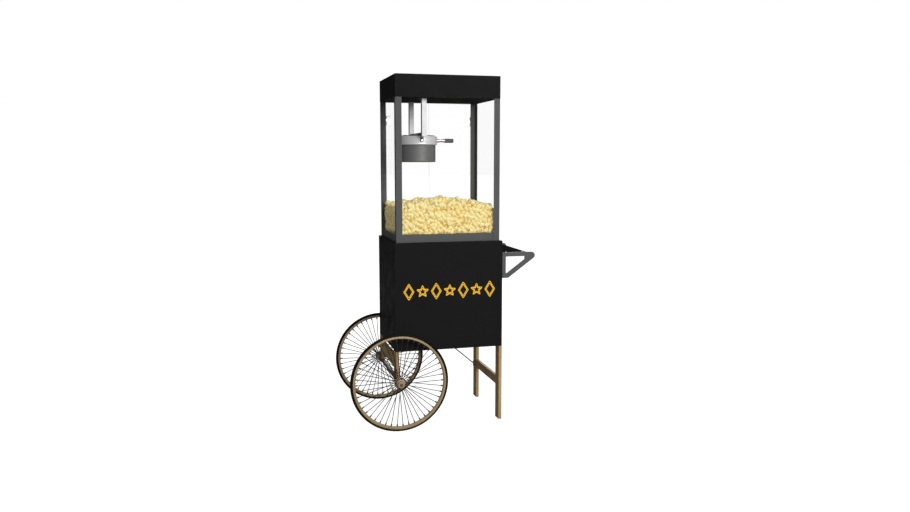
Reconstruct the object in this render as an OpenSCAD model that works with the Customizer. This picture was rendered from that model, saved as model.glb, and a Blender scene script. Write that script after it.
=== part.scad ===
// Popcorn cart: a glass popping case with a tilting kettle on a storage cabinet,
// carried by two spoked wheels at one end and two legs at the other.
// Millimetres, +Z up. The origin is on the ground at the centre of the footprint.
// The front of the cart faces -Y and the side shelf is at +X.

/* [Cabinet] */
// Width of the cabinet, left to right
cab_w = 500; // [410:1:620]
// Depth of the cabinet, front to back
cab_d = 420; // [350:1:520]
// Height of the cabinet box
cab_h = 490; // [400:1:600]
// Height of the cabinet floor above the ground
leg_h = 350; // [345:1:430]
// Thickness of the wooden boards
board_t = 15; // [12:0.5:20]
// Width of the frame round the back door
frame_border = 50; // [40:1:70]
// Gap round the back door
door_gap = 2; // [1:0.5:4]
// Least height of the back door's frame above the tops of the wheels
wheel_clear = 16; // [6:1:30]

/* [Legs] */
// Depth of each leg, front to back
leg_d = 52; // [35:1:70]
// Height of the bottom of the crossbar between the long legs
crossbar_z = 158; // [80:1:220]
// Height of the crossbar board
crossbar_h = 40; // [20:1:60]
// Distance from the long legs to the top of the diagonal brace
brace_reach = 210; // [120:1:300]
// Diameter of the diagonal brace
brace_dia = 6; // [4:0.5:10]
// Space between the cabinet floor and the board over the axle
axle_board_drop = 25; // [10:1:40]
// Space between the axle and the board over it
axle_board_gap = 40; // [20:1:45]

/* [Wheels] */
// Outer radius of each wheel
wheel_r = 222; // [180:1:240]
// Distance from the cabinet to the middle of a wheel
wheel_gap = 48; // [40:1:70]
// Thickness of the round tyre
tyre_dia = 12; // [8:0.5:20]
// Height of the rim, along a spoke
rim_h = 12; // [8:0.5:20]
// Width of the rim, across the wheel
rim_w = 20; // [16:0.5:30]
// Number of spokes in each wheel
spoke_count = 46; // [24:2:60]
// Diameter of a spoke
spoke_dia = 3.2; // [1.6:0.1:4]
// Radius of the hub flanges that the spokes hook into
flange_r = 19; // [16:0.5:26]
// Distance from the middle of the wheel to each flange
flange_y = 20; // [14:0.5:26]
// Length of the hub on each side of the wheel's middle
hub_half = 41; // [34:0.5:44]
// Size of the square axle bar
axle_sq = 15; // [12:0.5:20]
// Diameter of the round ends of the axle
journal_dia = 12; // [8:0.5:14]

/* [Side shelf] */
// Distance that the shelf board stands out from the cabinet
shelf_w = 119; // [90:1:150]
// Thickness of the shelf board
shelf_t = 8; // [5:0.5:18]
// Depth of the shelf board below the top of the cabinet
shelf_drop = 55; // [20:1:120]
// Distance that each bracket stands out from the cabinet
bracket_w = 158; // [150:1:180]
// Height of each bracket
bracket_h = 118; // [95:1:150]
// Thickness of each bracket
bracket_t = 8; // [5:0.5:12]

/* [Popping case] */
// Distance from each end of the cabinet to the glass case
case_end_gap = 10; // [5:1:40]
// Distance from the front and the back of the cabinet to the glass case
case_face_gap = 18; // [5:1:40]
// Height of the glass case, from the cabinet to the canopy
case_h = 640; // [520:1:780]
// Width of each leg of the corner angles
post_w = 28; // [20:1:40]
// Thickness of the corner angles
post_t = 2; // [1.5:0.5:4]
// Thickness of the glass
glass_t = 4; // [3:0.5:6]
// Thickness of the clear doors
door_t = 5; // [3:0.5:6]
// Height of the base tray
tray_h = 36; // [30:1:50]
// Thickness of the tray walls
tray_t = 2.5; // [1.5:0.5:3]
// Height of the canopy
canopy_h = 100; // [80:1:130]
// Thickness of the canopy sheet
canopy_t = 2; // [1:0.5:3]
// Height of the popcorn at the sides of the heap
heap_side = 115; // [60:1:160]
// Height of the popcorn at the top of the heap
heap_top = 143; // [80:1:190]
// Width of the crumb drawer
drawer_w = 300; // [200:1:330]

/* [Kettle] */
// Radius of the bright ring round the kettle
ring_r = 92; // [82:1:100]
// Height of the ring
ring_h = 39; // [30:1:50]
// Radius of the dark can below the ring
can_r = 84; // [81:0.5:88]
// Height of the can below the ring
can_h = 80; // [60:1:96]
// Outer radius of the popping pot
pot_r = 78; // [60:1:79]
// Depth of the popping pot
pot_h = 88; // [70:1:100]
// Distance from the canopy to the top of the ring
kettle_drop = 165; // [120:1:240]
// Width of each hanger bar
hanger_w = 22; // [14:1:30]
// Depth of each hanger bar, front to back
hanger_d = 24; // [14:1:30]
// Space between the kettle ring and each hanger bar
hanger_gap = 31; // [8:1:36]
// Space between the tilting kettle and the left glass
kettle_clear = 4; // [2:0.5:40]
// Length of the bare part of the handle
handle_len = 38; // [20:1:60]
// Diameter of the handle
handle_dia = 18; // [10:1:24]
// Length of the grip
grip_len = 42; // [30:1:70]

/* [Ornament] */
// Number of shapes in the lamp ornament on the front
shape_count = 7; // [3:2:9]
// Height of a shape in the ornament
shape_h = 78; // [50:1:100]
// Distance from one shape to the next
shape_pitch = 63; // [55:1:66]
// Height of the ornament's middle above the bottom of the cabinet
shape_z = 270; // [160:1:320]

/* [Hidden] */
// Radial clearance of a shaft that turns in a hole
run_clear = 0.05;
// Gap that keeps a moving face off its neighbour
slip = 0.4;
sheet_t = 2;

$fn = 64;

// Outline of the whole cart, left to right, which sets the origin
axle_x = board_t / 2;
mid_x = (axle_x - wheel_r + cab_w + bracket_w) / 2;

// Levels of the cabinet, the case and the canopy
cab_top = leg_h + cab_h;
// The back door swings over the rear wheel, so its opening starts above the tyre
door_z0 = max(leg_h + frame_border, 2 * wheel_r + wheel_clear);
door_z1 = cab_top - frame_border;
ceiling_z = cab_top + case_h;
top_z = ceiling_z + canopy_h;

// The case stands in the middle of the cabinet
case_x0 = case_end_gap;
case_x1 = cab_w - case_end_gap;
case_y = cab_d / 2 - case_face_gap;
glass_z0 = cab_top + tray_h;
canopy_over = 1;

// Wheels and axle
axle_z = wheel_r;
wheel_y = cab_d / 2 + wheel_gap;
rim_out = wheel_r - tyre_dia + 1;
rim_in = rim_out - rim_h;
hub_r = 15;
barrel_r = 11;
flange_t = 4;
spoke_start = hub_r + 0.5;
cap_t = 3;

// Kettle levels, with the tilting axis at the middle of the ring
ring_top = ceiling_z - kettle_drop;
pivot_z = ring_top - ring_h / 2;
can_bottom = -ring_h / 2 - can_h;
kettle_reach = norm([can_r, can_bottom]);
kettle_x = case_x0 + post_t + glass_t + kettle_clear + kettle_reach;
pot_t = 2;
lip_t = 1.5;
lip_top = ring_h / 2 + lip_t;
pot_bottom = ring_h / 2 - pot_h;
trunnion_r = 5;
hanger_in = ring_r + hanger_gap;
tongue_in = ring_r + 1;
tongue_t = 5;
tongue_wall = 2.5;
bridge_w = 16;
bridge_h = 12.5;
lid_pin_r = 1.2;
lid_knuckle_r = 2.8;
lid_axis_x = bridge_w / 2 + lid_knuckle_r + slip;
lid_axis_z = lip_top + lid_knuckle_r + slip;
lid_tube = 50;
lid_lug = 5;
lid_knob_r = 7;
lid_knob_h = 4;
shaft_r = 4;

// Hinges of the doors
knuckle_r = 3.4;
hinge_pin_r = 1.8;
hinge_h = 45;
hinge_leaf = 22;
hinge_axis_out = knuckle_r + 0.2;
glass_door_x0 = case_x0 + post_w + 1.5;
glass_hinge_x = case_x0 + post_w + 0.5;
glass_door_z0 = glass_z0 + 3;
glass_door_z1 = ceiling_z - 2;
knob_rise = 70;
cab_hinge_x = frame_border;

// Crumb drawer
drawer_z0 = cab_top + tray_t + 3;
drawer_h = 20;
drawer_y0 = -case_y + 20;
drawer_wall = 2;
sifter_top = glass_z0 - 1;

// Switches
panel_w = 210;
panel_h = 70;
panel_z = ceiling_z + canopy_h / 2;
switch_pitch = 42;
switch_x0 = cab_w / 2 - 70;
rocker_w = 12;
rocker_half = 9.6;
rocker_tilt = 8;
rocker_pin_r = 1.5;
rocker_ear = 2.5;
rocker_back = 4;
gland_r = 4;

// Colours
coal = [0.14, 0.14, 0.14];
slate = [0.38, 0.39, 0.385];
oak = [0.60, 0.50, 0.36];
steel = [0.86, 0.87, 0.87];
iron = [0.42, 0.42, 0.42];
clear = [0.9, 0.95, 0.97, 0.3];
amber = [0.90, 0.70, 0.20];
corn = [0.97, 0.87, 0.55];

// ---- shared shapes ----

// Moves a piece from the cabinet's left side to the origin of the cart
module place() translate([-mid_x, 0, 0]) children();

// Box between two corners
module box(low, high) translate(low) cube(high - low);

// Round bar along Y
module rod_y(r, y0, y1) translate([0, y0, 0]) rotate([-90, 0, 0]) cylinder(r = r, h = y1 - y0);

// Round bar along X
module rod_x(r, x0, x1) translate([x0, 0, 0]) rotate([0, 90, 0]) cylinder(r = r, h = x1 - x0);

// Points along an arc
function arc(c, r, a0, a1, n) =
    [for (i = [0:n]) let (a = a0 + (a1 - a0) * i / n) [c[0] + r * cos(a), c[1] + r * sin(a)]];

// Flat outline in X and Z, made into a plate between two Y values
module plate_xz(points, y0, y1)
    translate([0, y1, 0]) rotate([90, 0, 0]) linear_extrude(height = y1 - y0) polygon(points);

// Fixed half of a hinge: two end knuckles, the pin and a leaf towards -X
module hinge_frame() {
    leaf_y = -hinge_axis_out;
    third = hinge_h / 3;
    cylinder(r = hinge_pin_r, h = hinge_h);
    for (z = [0, hinge_h - third + slip]) {
        translate([0, 0, z]) cylinder(r = knuckle_r, h = third - slip);
        box([-knuckle_r - 1, leaf_y, z], [0, leaf_y + sheet_t, z + third - slip]);
    }
    box([-hinge_leaf, leaf_y, 0], [-knuckle_r - 1, leaf_y + sheet_t, hinge_h]);
}

// Moving half of a hinge: the middle knuckle and a leaf towards +X
module hinge_leaf_half() {
    leaf_y = -hinge_axis_out;
    third = hinge_h / 3;
    difference() {
        union() {
            translate([0, 0, third]) cylinder(r = knuckle_r, h = third);
            box([0, leaf_y, third], [knuckle_r + 1, leaf_y + sheet_t, third * 2]);
            box([knuckle_r + 1, leaf_y, 0], [hinge_leaf, leaf_y + sheet_t, hinge_h]);
        }
        translate([0, 0, -1]) cylinder(r = hinge_pin_r + run_clear, h = hinge_h + 2);
    }
}

// Heights of the two hinges on a door
function hinge_levels(z0, z1) = let (inset = min(60, (z1 - z0) / 5)) [z0 + inset, z1 - inset - hinge_h];

module at_cab_hinges() for (z = hinge_levels(door_z0, door_z1))
    translate([cab_hinge_x, cab_d / 2 + hinge_axis_out, z]) children();

module at_glass_hinges() for (z = hinge_levels(glass_door_z0, glass_door_z1))
    translate([glass_hinge_x, case_y + hinge_axis_out, z]) children();

// Mirrors a piece of the left glass door to the right one
module other_door() translate([cab_w, 0, 0]) mirror([1, 0, 0]) children();

// ---- cabinet ----

module cabinet_front() color(coal) place()
    box([0, -cab_d / 2, leg_h], [cab_w, -cab_d / 2 + board_t, cab_top]);

module cabinet_left() color(coal) place()
    box([0, -cab_d / 2 + board_t, leg_h], [board_t, cab_d / 2 - board_t, cab_top]);

module cabinet_right() color(coal) place()
    box([cab_w - board_t, -cab_d / 2 + board_t, leg_h], [cab_w, cab_d / 2 - board_t, cab_top]);

// Board between the side panels, used for the floor and the top
module cabinet_deck(z)
    box([board_t, -cab_d / 2 + board_t, z], [cab_w - board_t, cab_d / 2 - board_t, z + board_t]);

module cabinet_floor() color(coal) place() cabinet_deck(leg_h);

module cabinet_top() color(coal) place() cabinet_deck(cab_top - board_t);

module cabinet_back_frame() color(coal) place() difference() {
    box([0, cab_d / 2 - board_t, leg_h], [cab_w, cab_d / 2, cab_top]);
    box([frame_border, cab_d / 2 - board_t - 1, door_z0], [cab_w - frame_border, cab_d / 2 + 1, door_z1]);
}

latch_x = cab_w - frame_border - 22;
latch_z = (door_z0 + door_z1) / 2;

module cabinet_door() color(coal) place() difference() {
    inset = frame_border + door_gap;
    box([inset, cab_d / 2 - board_t, door_z0 + door_gap], [cab_w - inset, cab_d / 2, door_z1 - door_gap]);
    translate([latch_x, 0, latch_z]) rod_y(shaft_r + run_clear, cab_d / 2 - board_t - 1, cab_d / 2 + 1);
}

module door_leaves() color(steel) place() at_cab_hinges() hinge_leaf_half();

// Turn latch: a round knob outside, a shaft through the door and a cam inside.
// The cam stands upright, clear of the frame, until the knob is turned.
module door_latch() color(steel) place() translate([latch_x, 0, latch_z]) {
    knob_r = 14;
    cam_t = 6;
    cam_len = 34;
    door_in = cab_d / 2 - board_t;
    rod_y(shaft_r, door_in - slip - cam_t, cab_d / 2 + 6);
    rod_y(knob_r, cab_d / 2 + slip, cab_d / 2 + 6);
    box([-4, cab_d / 2 + 6, -knob_r + 1], [4, cab_d / 2 + 20, knob_r - 1]);
    box([-7, door_in - slip - cam_t, -7], [7, door_in - slip, cam_len]);
}

// Fixed halves of all six hinges
module hinge_frames() color(steel) place() {
    at_cab_hinges() hinge_frame();
    at_glass_hinges() hinge_frame();
    other_door() at_glass_hinges() hinge_frame();
}

// ---- legs and axle ----

module long_leg(side) {
    y_out = side * cab_d / 2;
    y_in = side * (cab_d / 2 - leg_d);
    box([cab_w - board_t, min(y_out, y_in), 0], [cab_w, max(y_out, y_in), leg_h]);
}

module front_leg() color(oak) place() long_leg(-1);

module rear_leg() color(oak) place() long_leg(1);

module leg_crossbar() color(oak) place()
    box([cab_w - board_t, -cab_d / 2 + leg_d, crossbar_z],
        [cab_w, cab_d / 2 - leg_d, crossbar_z + crossbar_h]);

// Thin steel brace from the cabinet floor to the rear leg, with a plate at each end
module leg_brace() color(oak) place() translate([0, cab_d / 2 - leg_d / 2, 0]) {
    pad_t = 6;
    pad_w = 26;
    foot_x = cab_w - board_t;
    foot_z = crossbar_z + pad_w / 2;
    head_x = foot_x - brace_reach;
    sunk = 2;
    low = [foot_x - pad_t + sunk, foot_z];
    high = [head_x, leg_h - pad_t + sunk];
    run = high - low;
    translate([low[0], 0, low[1]]) rotate([0, atan2(run[0], run[1]), 0])
        cylinder(d = brace_dia, h = norm(run));
    box([foot_x - pad_t, -pad_w / 2, crossbar_z], [foot_x, pad_w / 2, crossbar_z + pad_w]);
    box([head_x - pad_w / 2, -pad_w / 2, leg_h - pad_t], [head_x + pad_w / 2, pad_w / 2, leg_h]);
}

module axle_legs() color(oak) place() for (side = [-1, 1]) {
    y_out = side * cab_d / 2;
    y_in = side * (cab_d / 2 - leg_d);
    box([0, min(y_out, y_in), axle_z + axle_sq / 2], [board_t, max(y_out, y_in), leg_h]);
}

module axle_board() color(oak) place()
    box([0, -cab_d / 2 + leg_d, axle_z + axle_sq / 2 + axle_board_gap],
        [board_t, cab_d / 2 - leg_d, leg_h - axle_board_drop]);

// Square bar with a turned journal at each end
module axle() color(iron) place() translate([axle_x, 0, axle_z]) {
    half = axle_sq / 2;
    box([-half, -cab_d / 2, -half], [half, cab_d / 2, half]);
    rod_y(journal_dia / 2, -wheel_y - hub_half - slip, wheel_y + hub_half + slip);
}

// Straps that hold the axle to its legs, thrust washers and end caps
module axle_fittings() color(iron) place() translate([axle_x, 0, axle_z]) for (side = [-1, 1]) {
    half = max(axle_sq, board_t) / 2;
    strap_y = side * (cab_d / 2 - leg_d / 2);
    strap_w = 26;
    lift = axle_sq / 2 + 28;
    wheel_in = wheel_y - hub_half;
    cap_y = wheel_y + hub_half + slip;
    washer_y = cab_d / 2;
    for (x = [-half - 3, half])
        box([x, strap_y - strap_w / 2, -axle_sq / 2], [x + 3, strap_y + strap_w / 2, lift]);
    box([-half - 3, strap_y - strap_w / 2, -axle_sq / 2 - 3],
        [half + 3, strap_y + strap_w / 2, -axle_sq / 2]);
    difference() {
        rod_y(hub_r - 2, min(side * washer_y, side * (wheel_in - slip)),
            max(side * washer_y, side * (wheel_in - slip)));
        rod_y(journal_dia / 2, min(side * washer_y, side * wheel_in) - 1,
            max(side * washer_y, side * wheel_in) + 1);
    }
    rod_y(journal_dia / 2 + 1, min(side * cap_y, side * (cap_y + cap_t)),
        max(side * cap_y, side * (cap_y + cap_t)));
}

// ---- wheels ----

// Puts a wheel, drawn round Z with its outside towards +Z, on its end of the axle
module on_axle(side)
    translate([axle_x, side * wheel_y, axle_z]) rotate([-side * 90, 0, 0]) children();

module wheel_tyre() rotate_extrude($fn = 128)
    translate([wheel_r - tyre_dia / 2, 0]) circle(d = tyre_dia, $fn = 32);

module wheel_rim() rotate_extrude($fn = 128) difference() {
    translate([rim_in, -rim_w / 2]) square([rim_h, rim_w]);
    translate([wheel_r - tyre_dia / 2, 0]) circle(d = tyre_dia, $fn = 32);
}

// Spokes run in turn from the outer and the inner flange to the middle of the rim
module wheel_spokes() {
    run = rim_in + 1 - spoke_start;
    lean = atan2(flange_y, run);
    for (i = [0:spoke_count - 1]) {
        side = i % 2 == 0 ? 1 : -1;
        rotate([0, 0, i * 360 / spoke_count]) translate([spoke_start, 0, side * flange_y])
            rotate([0, 90 + side * lean, 0]) cylinder(d = spoke_dia, h = norm([run, flange_y]), $fn = 16);
    }
}

module wheel_hub() difference() {
    union() {
        translate([0, 0, -flange_y]) cylinder(r = barrel_r, h = 2 * flange_y);
        for (s = [-1, 1]) {
            translate([0, 0, s * flange_y - flange_t / 2]) cylinder(r = flange_r, h = flange_t);
            translate([0, 0, s > 0 ? flange_y : -hub_half])
                cylinder(r = hub_r, h = hub_half - flange_y);
        }
    }
    translate([0, 0, -hub_half - 1])
        cylinder(r = journal_dia / 2 + run_clear, h = 2 * hub_half + 2);
}

module front_wheel_tyre() color(coal) place() on_axle(-1) wheel_tyre();
module front_wheel_rim() color(oak) place() on_axle(-1) wheel_rim();
module front_wheel_spokes() color(iron) place() on_axle(-1) wheel_spokes();
module front_wheel_hub() color(oak) place() on_axle(-1) wheel_hub();
module rear_wheel_tyre() color(coal) place() on_axle(1) wheel_tyre();
module rear_wheel_rim() color(oak) place() on_axle(1) wheel_rim();
module rear_wheel_spokes() color(iron) place() on_axle(1) wheel_spokes();
module rear_wheel_hub() color(oak) place() on_axle(1) wheel_hub();

// ---- side shelf ----

shelf_top = cab_top - shelf_drop;

// The board lies between the two brackets, level with their tops
module shelf_board() color(coal) place()
    box([cab_w, -cab_d / 2 + bracket_t, shelf_top - shelf_t],
        [cab_w + shelf_w, cab_d / 2 - bracket_t, shelf_top]);

// Triangular bracket with a round nose. Its outline starts at the top by the cabinet,
// goes round the nose and comes back along the slanting stay to the short foot.
nose_r = 16;
foot_w = 29;
stay_t = 22;
rail_t = 19;
back_t = 17;
window_w = 91;

nose = [bracket_w - nose_r, -nose_r];
stay_to_nose = nose - [foot_w, -bracket_h];
stay_angle = atan2(stay_to_nose[1], stay_to_nose[0]) - asin(nose_r / norm(stay_to_nose));

// Height of the upper edge of the stay at a distance from the cabinet
function stay_z(x) = -bracket_h + (x - foot_w) * tan(stay_angle) + stay_t / cos(stay_angle);

// Distance from the cabinet at which the stay's upper edge has a given height
function stay_x(z) = foot_w + (z + bracket_h - stay_t / cos(stay_angle)) / tan(stay_angle);

module shelf_brackets() color(slate) place() {
    outline = concat([[0, 0]], arc(nose, nose_r, 90, stay_angle - 90, 10),
        [[foot_w, -bracket_h], [0, -bracket_h]]);
    window_x = back_t + window_w;
    window_foot = stay_z(back_t) + 4;
    window = [[back_t, -rail_t], [window_x, -rail_t], [window_x, stay_z(window_x)],
        [stay_x(window_foot), window_foot], [back_t, window_foot]];
    for (y = [-cab_d / 2, cab_d / 2 - bracket_t])
        translate([cab_w, 0, shelf_top]) difference() {
            plate_xz(outline, y, y + bracket_t);
            plate_xz(window, y - 1, y + bracket_t + 1);
        }
}

// ---- lamp ornament on the front ----

// Points of a star or a lozenge, n points round, with every second one drawn in
function star(n, r_out, r_in) =
    [for (i = [0:2 * n - 1]) let (r = i % 2 == 0 ? r_out : r_in, a = 90 + i * 180 / n) [r * cos(a), r * sin(a)]];

module ornament_shape(points, inner) linear_extrude(height = 2) difference() {
    polygon(points);
    polygon(points * inner);
}

module front_ornament() color(amber) place()
    translate([cab_w / 2, -cab_d / 2, leg_h + shape_z]) rotate([90, 0, 0])
        for (i = [0:shape_count - 1]) translate([(i - (shape_count - 1) / 2) * shape_pitch, 0, 0])
            if (i % 2 == 0) ornament_shape([[0, shape_h / 2], [-shape_pitch * 0.4, 0],
                [0, -shape_h / 2], [shape_pitch * 0.4, 0]], 0.72);
            else ornament_shape(star(5, shape_pitch * 0.48, shape_pitch * 0.21), 0.62);

// ---- glass case ----

// Tray with a floor, two ledges for the sifter plate and a slot at the back for the drawer
module base_tray() color(slate) place() difference() {
    x0 = case_x0 + post_t;
    x1 = case_x1 - post_t;
    y1 = case_y - post_t;
    ledge_w = 10;
    union() {
        difference() {
            box([x0, -y1, cab_top], [x1, y1, glass_z0]);
            box([x0 + tray_t, -y1 + tray_t, cab_top + tray_t], [x1 - tray_t, y1 - tray_t, glass_z0 + 1]);
        }
        box([x0 + 1, -y1 + 1, cab_top + 1], [x0 + tray_t + ledge_w, y1 - 1, sifter_top - sheet_t]);
        box([x1 - tray_t - ledge_w, -y1 + 1, cab_top + 1], [x1 - 1, y1 - 1, sifter_top - sheet_t]);
    }
    box([cab_w / 2 - drawer_w / 2 - 1, y1 - tray_t - 1, drawer_z0 - 1],
        [cab_w / 2 + drawer_w / 2 + 1, y1 + 1, drawer_z0 + drawer_h + 1]);
}

// Floor of the case, with slots that let crumbs and hard kernels fall into the drawer
module sifter_plate() color(steel) place() {
    x0 = case_x0 + post_t + tray_t + slip;
    x1 = case_x1 - post_t - tray_t - slip;
    y1 = case_y - post_t - tray_t - slip;
    slot_l = 36;
    slot_w = 7;
    rows = 7;
    difference() {
        box([x0, -y1, sifter_top - sheet_t], [x1, y1, sifter_top]);
        for (side = [-1, 1], row = [0:rows - 1])
            translate([cab_w / 2 + side * drawer_w / 5, (row - (rows - 1) / 2) * drawer_w / 10, sifter_top])
                cube([slot_l, slot_w, 3 * sheet_t], center = true);
    }
}

// Shallow drawer that slides out at the back, with a face plate and a finger lip
module crumb_drawer() color(slate) place() {
    x0 = cab_w / 2 - drawer_w / 2;
    x1 = cab_w / 2 + drawer_w / 2;
    y_in = case_y - post_t;
    difference() {
        box([x0, drawer_y0, drawer_z0], [x1, y_in + slip, drawer_z0 + drawer_h]);
        box([x0 + drawer_wall, drawer_y0 + drawer_wall, drawer_z0 + drawer_wall],
            [x1 - drawer_wall, y_in - drawer_wall, drawer_z0 + drawer_h + 1]);
    }
    box([x0 - 4, y_in + slip, drawer_z0 - 4], [x1 + 4, y_in + slip + 3, drawer_z0 + drawer_h + 3]);
    box([cab_w / 2 - 45, y_in + slip, drawer_z0 + drawer_h - 3],
        [cab_w / 2 + 45, y_in + 18, drawer_z0 + drawer_h]);
}

// Angle section for one corner, from the cabinet to the canopy
module corner_post() difference() {
    cube([post_w, post_w, case_h]);
    translate([post_t, post_t, -1]) cube([post_w, post_w, case_h + 2]);
}

module corner_posts() color(slate) place() for (mx = [0, 1], my = [0, 1])
    translate([mx ? case_x1 : case_x0, my ? case_y : -case_y, cab_top])
        mirror([mx, 0, 0]) mirror([0, my, 0]) corner_post();

module front_glass() color(clear) place() box([case_x0 + post_t, -case_y + post_t, glass_z0],
    [case_x1 - post_t, -case_y + post_t + glass_t, ceiling_z]);

module side_glass(x) box([x, -case_y + post_t + glass_t, glass_z0], [x + glass_t, case_y - post_t, ceiling_z]);

module left_glass() color(clear) place() side_glass(case_x0 + post_t);

module right_glass() color(clear) place() side_glass(case_x1 - post_t - glass_t);

// The two doors meet in the middle of the back
module glass_door() box([glass_door_x0, case_y - door_t, glass_door_z0],
    [cab_w / 2 - 0.75, case_y, glass_door_z1]);

module left_glass_door() color(clear) place() glass_door();

module right_glass_door() color(clear) place() other_door() glass_door();

// Hinge leaves and the round knob of one glass door
module door_fittings() {
    knob_z = glass_door_z0 + knob_rise;
    at_glass_hinges() hinge_leaf_half();
    translate([cab_w / 2 - 24, 0, knob_z]) {
        rod_y(5, case_y, case_y + 9);
        rod_y(10, case_y + 9, case_y + 17);
    }
}

module left_door_fittings() color(steel) place() door_fittings();

module right_door_fittings() color(steel) place() other_door() door_fittings();

// Heap of popcorn that fills the case from wall to wall
module popcorn() color(corn) place() {
    x0 = case_x0 + post_t + glass_t + slip;
    x1 = case_x1 - post_t - glass_t - slip;
    y0 = -case_y + post_t + glass_t + slip;
    y1 = case_y - door_t - slip;
    z0 = sifter_top;
    ridge = (x0 + x1) / 2;
    plate_xz([[x0, z0], [x1, z0], [x1, z0 + heap_side], [ridge + 90, z0 + heap_top],
        [ridge - 60, z0 + heap_top], [x0, z0 + heap_side]], y0, y1);
}

// ---- canopy ----

// Folded sheet box, open below, with a hole at the back for the switch panel
module canopy() color(coal) place() difference() {
    low = [case_x0 - canopy_over, -case_y - canopy_over, ceiling_z];
    high = [case_x1 + canopy_over, case_y + canopy_over, top_z];
    wall = [canopy_t, canopy_t, canopy_t];
    box(low, high);
    box(low + [canopy_t, canopy_t, -1], high - wall);
    box([cab_w / 2 - panel_w / 2 + 6, case_y - canopy_t - 1, panel_z - panel_h / 2 + 6],
        [cab_w / 2 + panel_w / 2 - 6, case_y + 3, panel_z + panel_h / 2 - 6]);
}

lamp_x = cab_w / 2 + 70;
lamp_r = 22;

module ceiling_plate() color(coal) place() difference() {
    inset = canopy_t - canopy_over + 0.2;
    box([case_x0 + inset, -case_y + inset, ceiling_z], [case_x1 - inset, case_y - inset, ceiling_z + 3]);
    translate([lamp_x, 0, ceiling_z - 1]) cylinder(r = lamp_r + 8, h = 5);
}

// Bulb in a holder that hangs from the top of the canopy
module lamp() color(steel) place() translate([lamp_x, 0, 0]) {
    bulb_z = ceiling_z + lamp_r + 12;
    translate([0, 0, bulb_z]) sphere(r = lamp_r);
    translate([0, 0, bulb_z]) cylinder(r = 14, h = top_z - canopy_t - bulb_z);
    translate([0, 0, top_z - canopy_t - 14]) cylinder(r = 20, h = 14);
}

panel_y = case_y + canopy_over;
rocker_y = panel_y + sheet_t - rocker_back;

// Plate with three switch openings, the ears that carry the rockers, and the cord gland
module switch_panel() color(slate) place() {
    ear_z = 4;
    opening_h = 2 * (rocker_half + 1.4);
    ear_x = rocker_w / 2 + slip;
    difference() {
        union() {
            box([cab_w / 2 - panel_w / 2, panel_y, panel_z - panel_h / 2],
                [cab_w / 2 + panel_w / 2, panel_y + sheet_t, panel_z + panel_h / 2]);
            for (i = [0:2], side = [-1, 1])
                translate([switch_x0 + i * switch_pitch + side * (ear_x + rocker_ear / 2), 0, panel_z])
                    box([-rocker_ear / 2, rocker_y - ear_z, -ear_z], [rocker_ear / 2, panel_y + 1, ear_z]);
            translate([cab_w / 2 + 75, 0, panel_z]) {
                rod_y(12, panel_y, panel_y + sheet_t + 4);
                rod_y(8, panel_y, panel_y + sheet_t + 14);
            }
        }
        for (i = [0:2]) translate([switch_x0 + i * switch_pitch, 0, panel_z]) {
            box([-ear_x, panel_y - 1, -opening_h / 2], [ear_x, panel_y + sheet_t + 1, opening_h / 2]);
            translate([0, rocker_y, 0]) rod_x(rocker_pin_r + run_clear, -15, 15);
        }
        translate([cab_w / 2 + 75, 0, panel_z]) rod_y(gland_r, panel_y - 1, panel_y + sheet_t + 15);
    }
}

// Rocker on two short pins, at rest with its lower end pressed in
module rocker(i) translate([switch_x0 + i * switch_pitch, rocker_y, panel_z]) rotate([rocker_tilt, 0, 0]) {
    profile = [[-5, -3], [2, -rocker_half], [rocker_back + 2.8, -rocker_half], [rocker_back + 1.2, 0],
        [rocker_back + 2.8, rocker_half], [2, rocker_half], [-5, 3]];
    rotate([90, 0, 90]) translate([0, 0, -rocker_w / 2]) linear_extrude(height = rocker_w) polygon(profile);
    rod_x(rocker_pin_r, -rocker_w / 2 - slip - rocker_ear, rocker_w / 2 + slip + rocker_ear);
}

module heat_switch() color(coal) place() rocker(0);
module stir_switch() color(coal) place() rocker(1);
module light_switch() color(coal) place() rocker(2);

// ---- kettle, drawn round its tilting axis ----

module at_kettle() place() translate([kettle_x, 0, pivot_z]) children();

// Two square bars from the canopy, each with an arm that reaches in over the edge of the
// kettle and a flat tongue that carries a pivot
module kettle_hangers() color(steel) at_kettle() for (side = [-1, 1]) {
    y_in = side * hanger_in;
    y_out = side * (hanger_in + hanger_d);
    y_tongue = side * tongue_in;
    y_face = side * (tongue_in + tongue_t);
    bar_z = ring_h / 2 - 4;
    arm_z = lip_top + bridge_h;
    tongue_r = trunnion_r + tongue_wall;
    box([-hanger_w / 2, min(y_in, y_out), bar_z], [hanger_w / 2, max(y_in, y_out), ceiling_z - pivot_z]);
    box([-bridge_w / 2, min(y_in, y_tongue), lip_top], [bridge_w / 2, max(y_in, y_tongue), arm_z]);
    difference() {
        union() {
            rod_y(tongue_r, min(y_tongue, y_face), max(y_tongue, y_face));
            box([-tongue_r, min(y_tongue, y_face), 0], [tongue_r, max(y_tongue, y_face), arm_z]);
        }
        rod_y(trunnion_r + run_clear, min(y_tongue, y_face) - 1, max(y_tongue, y_face) + 1);
    }
}

module kettle_ring() color(steel) at_kettle() {
    difference() {
        translate([0, 0, -ring_h / 2]) cylinder(r = ring_r, h = ring_h);
        translate([0, 0, -ring_h / 2 - 1]) cylinder(r = pot_r + 2, h = ring_h + 2);
    }
    for (side = [-1, 1]) {
        y0 = side * (ring_r - 2);
        y1 = side * (tongue_in + tongue_t + slip);
        rod_y(trunnion_r, min(y0, y1), max(y0, y1));
    }
}

module kettle_can() color(iron) at_kettle() translate([0, 0, can_bottom]) difference() {
    cylinder(r = can_r, h = can_h);
    translate([0, 0, sheet_t]) cylinder(r = can_r - sheet_t, h = can_h);
}

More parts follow.
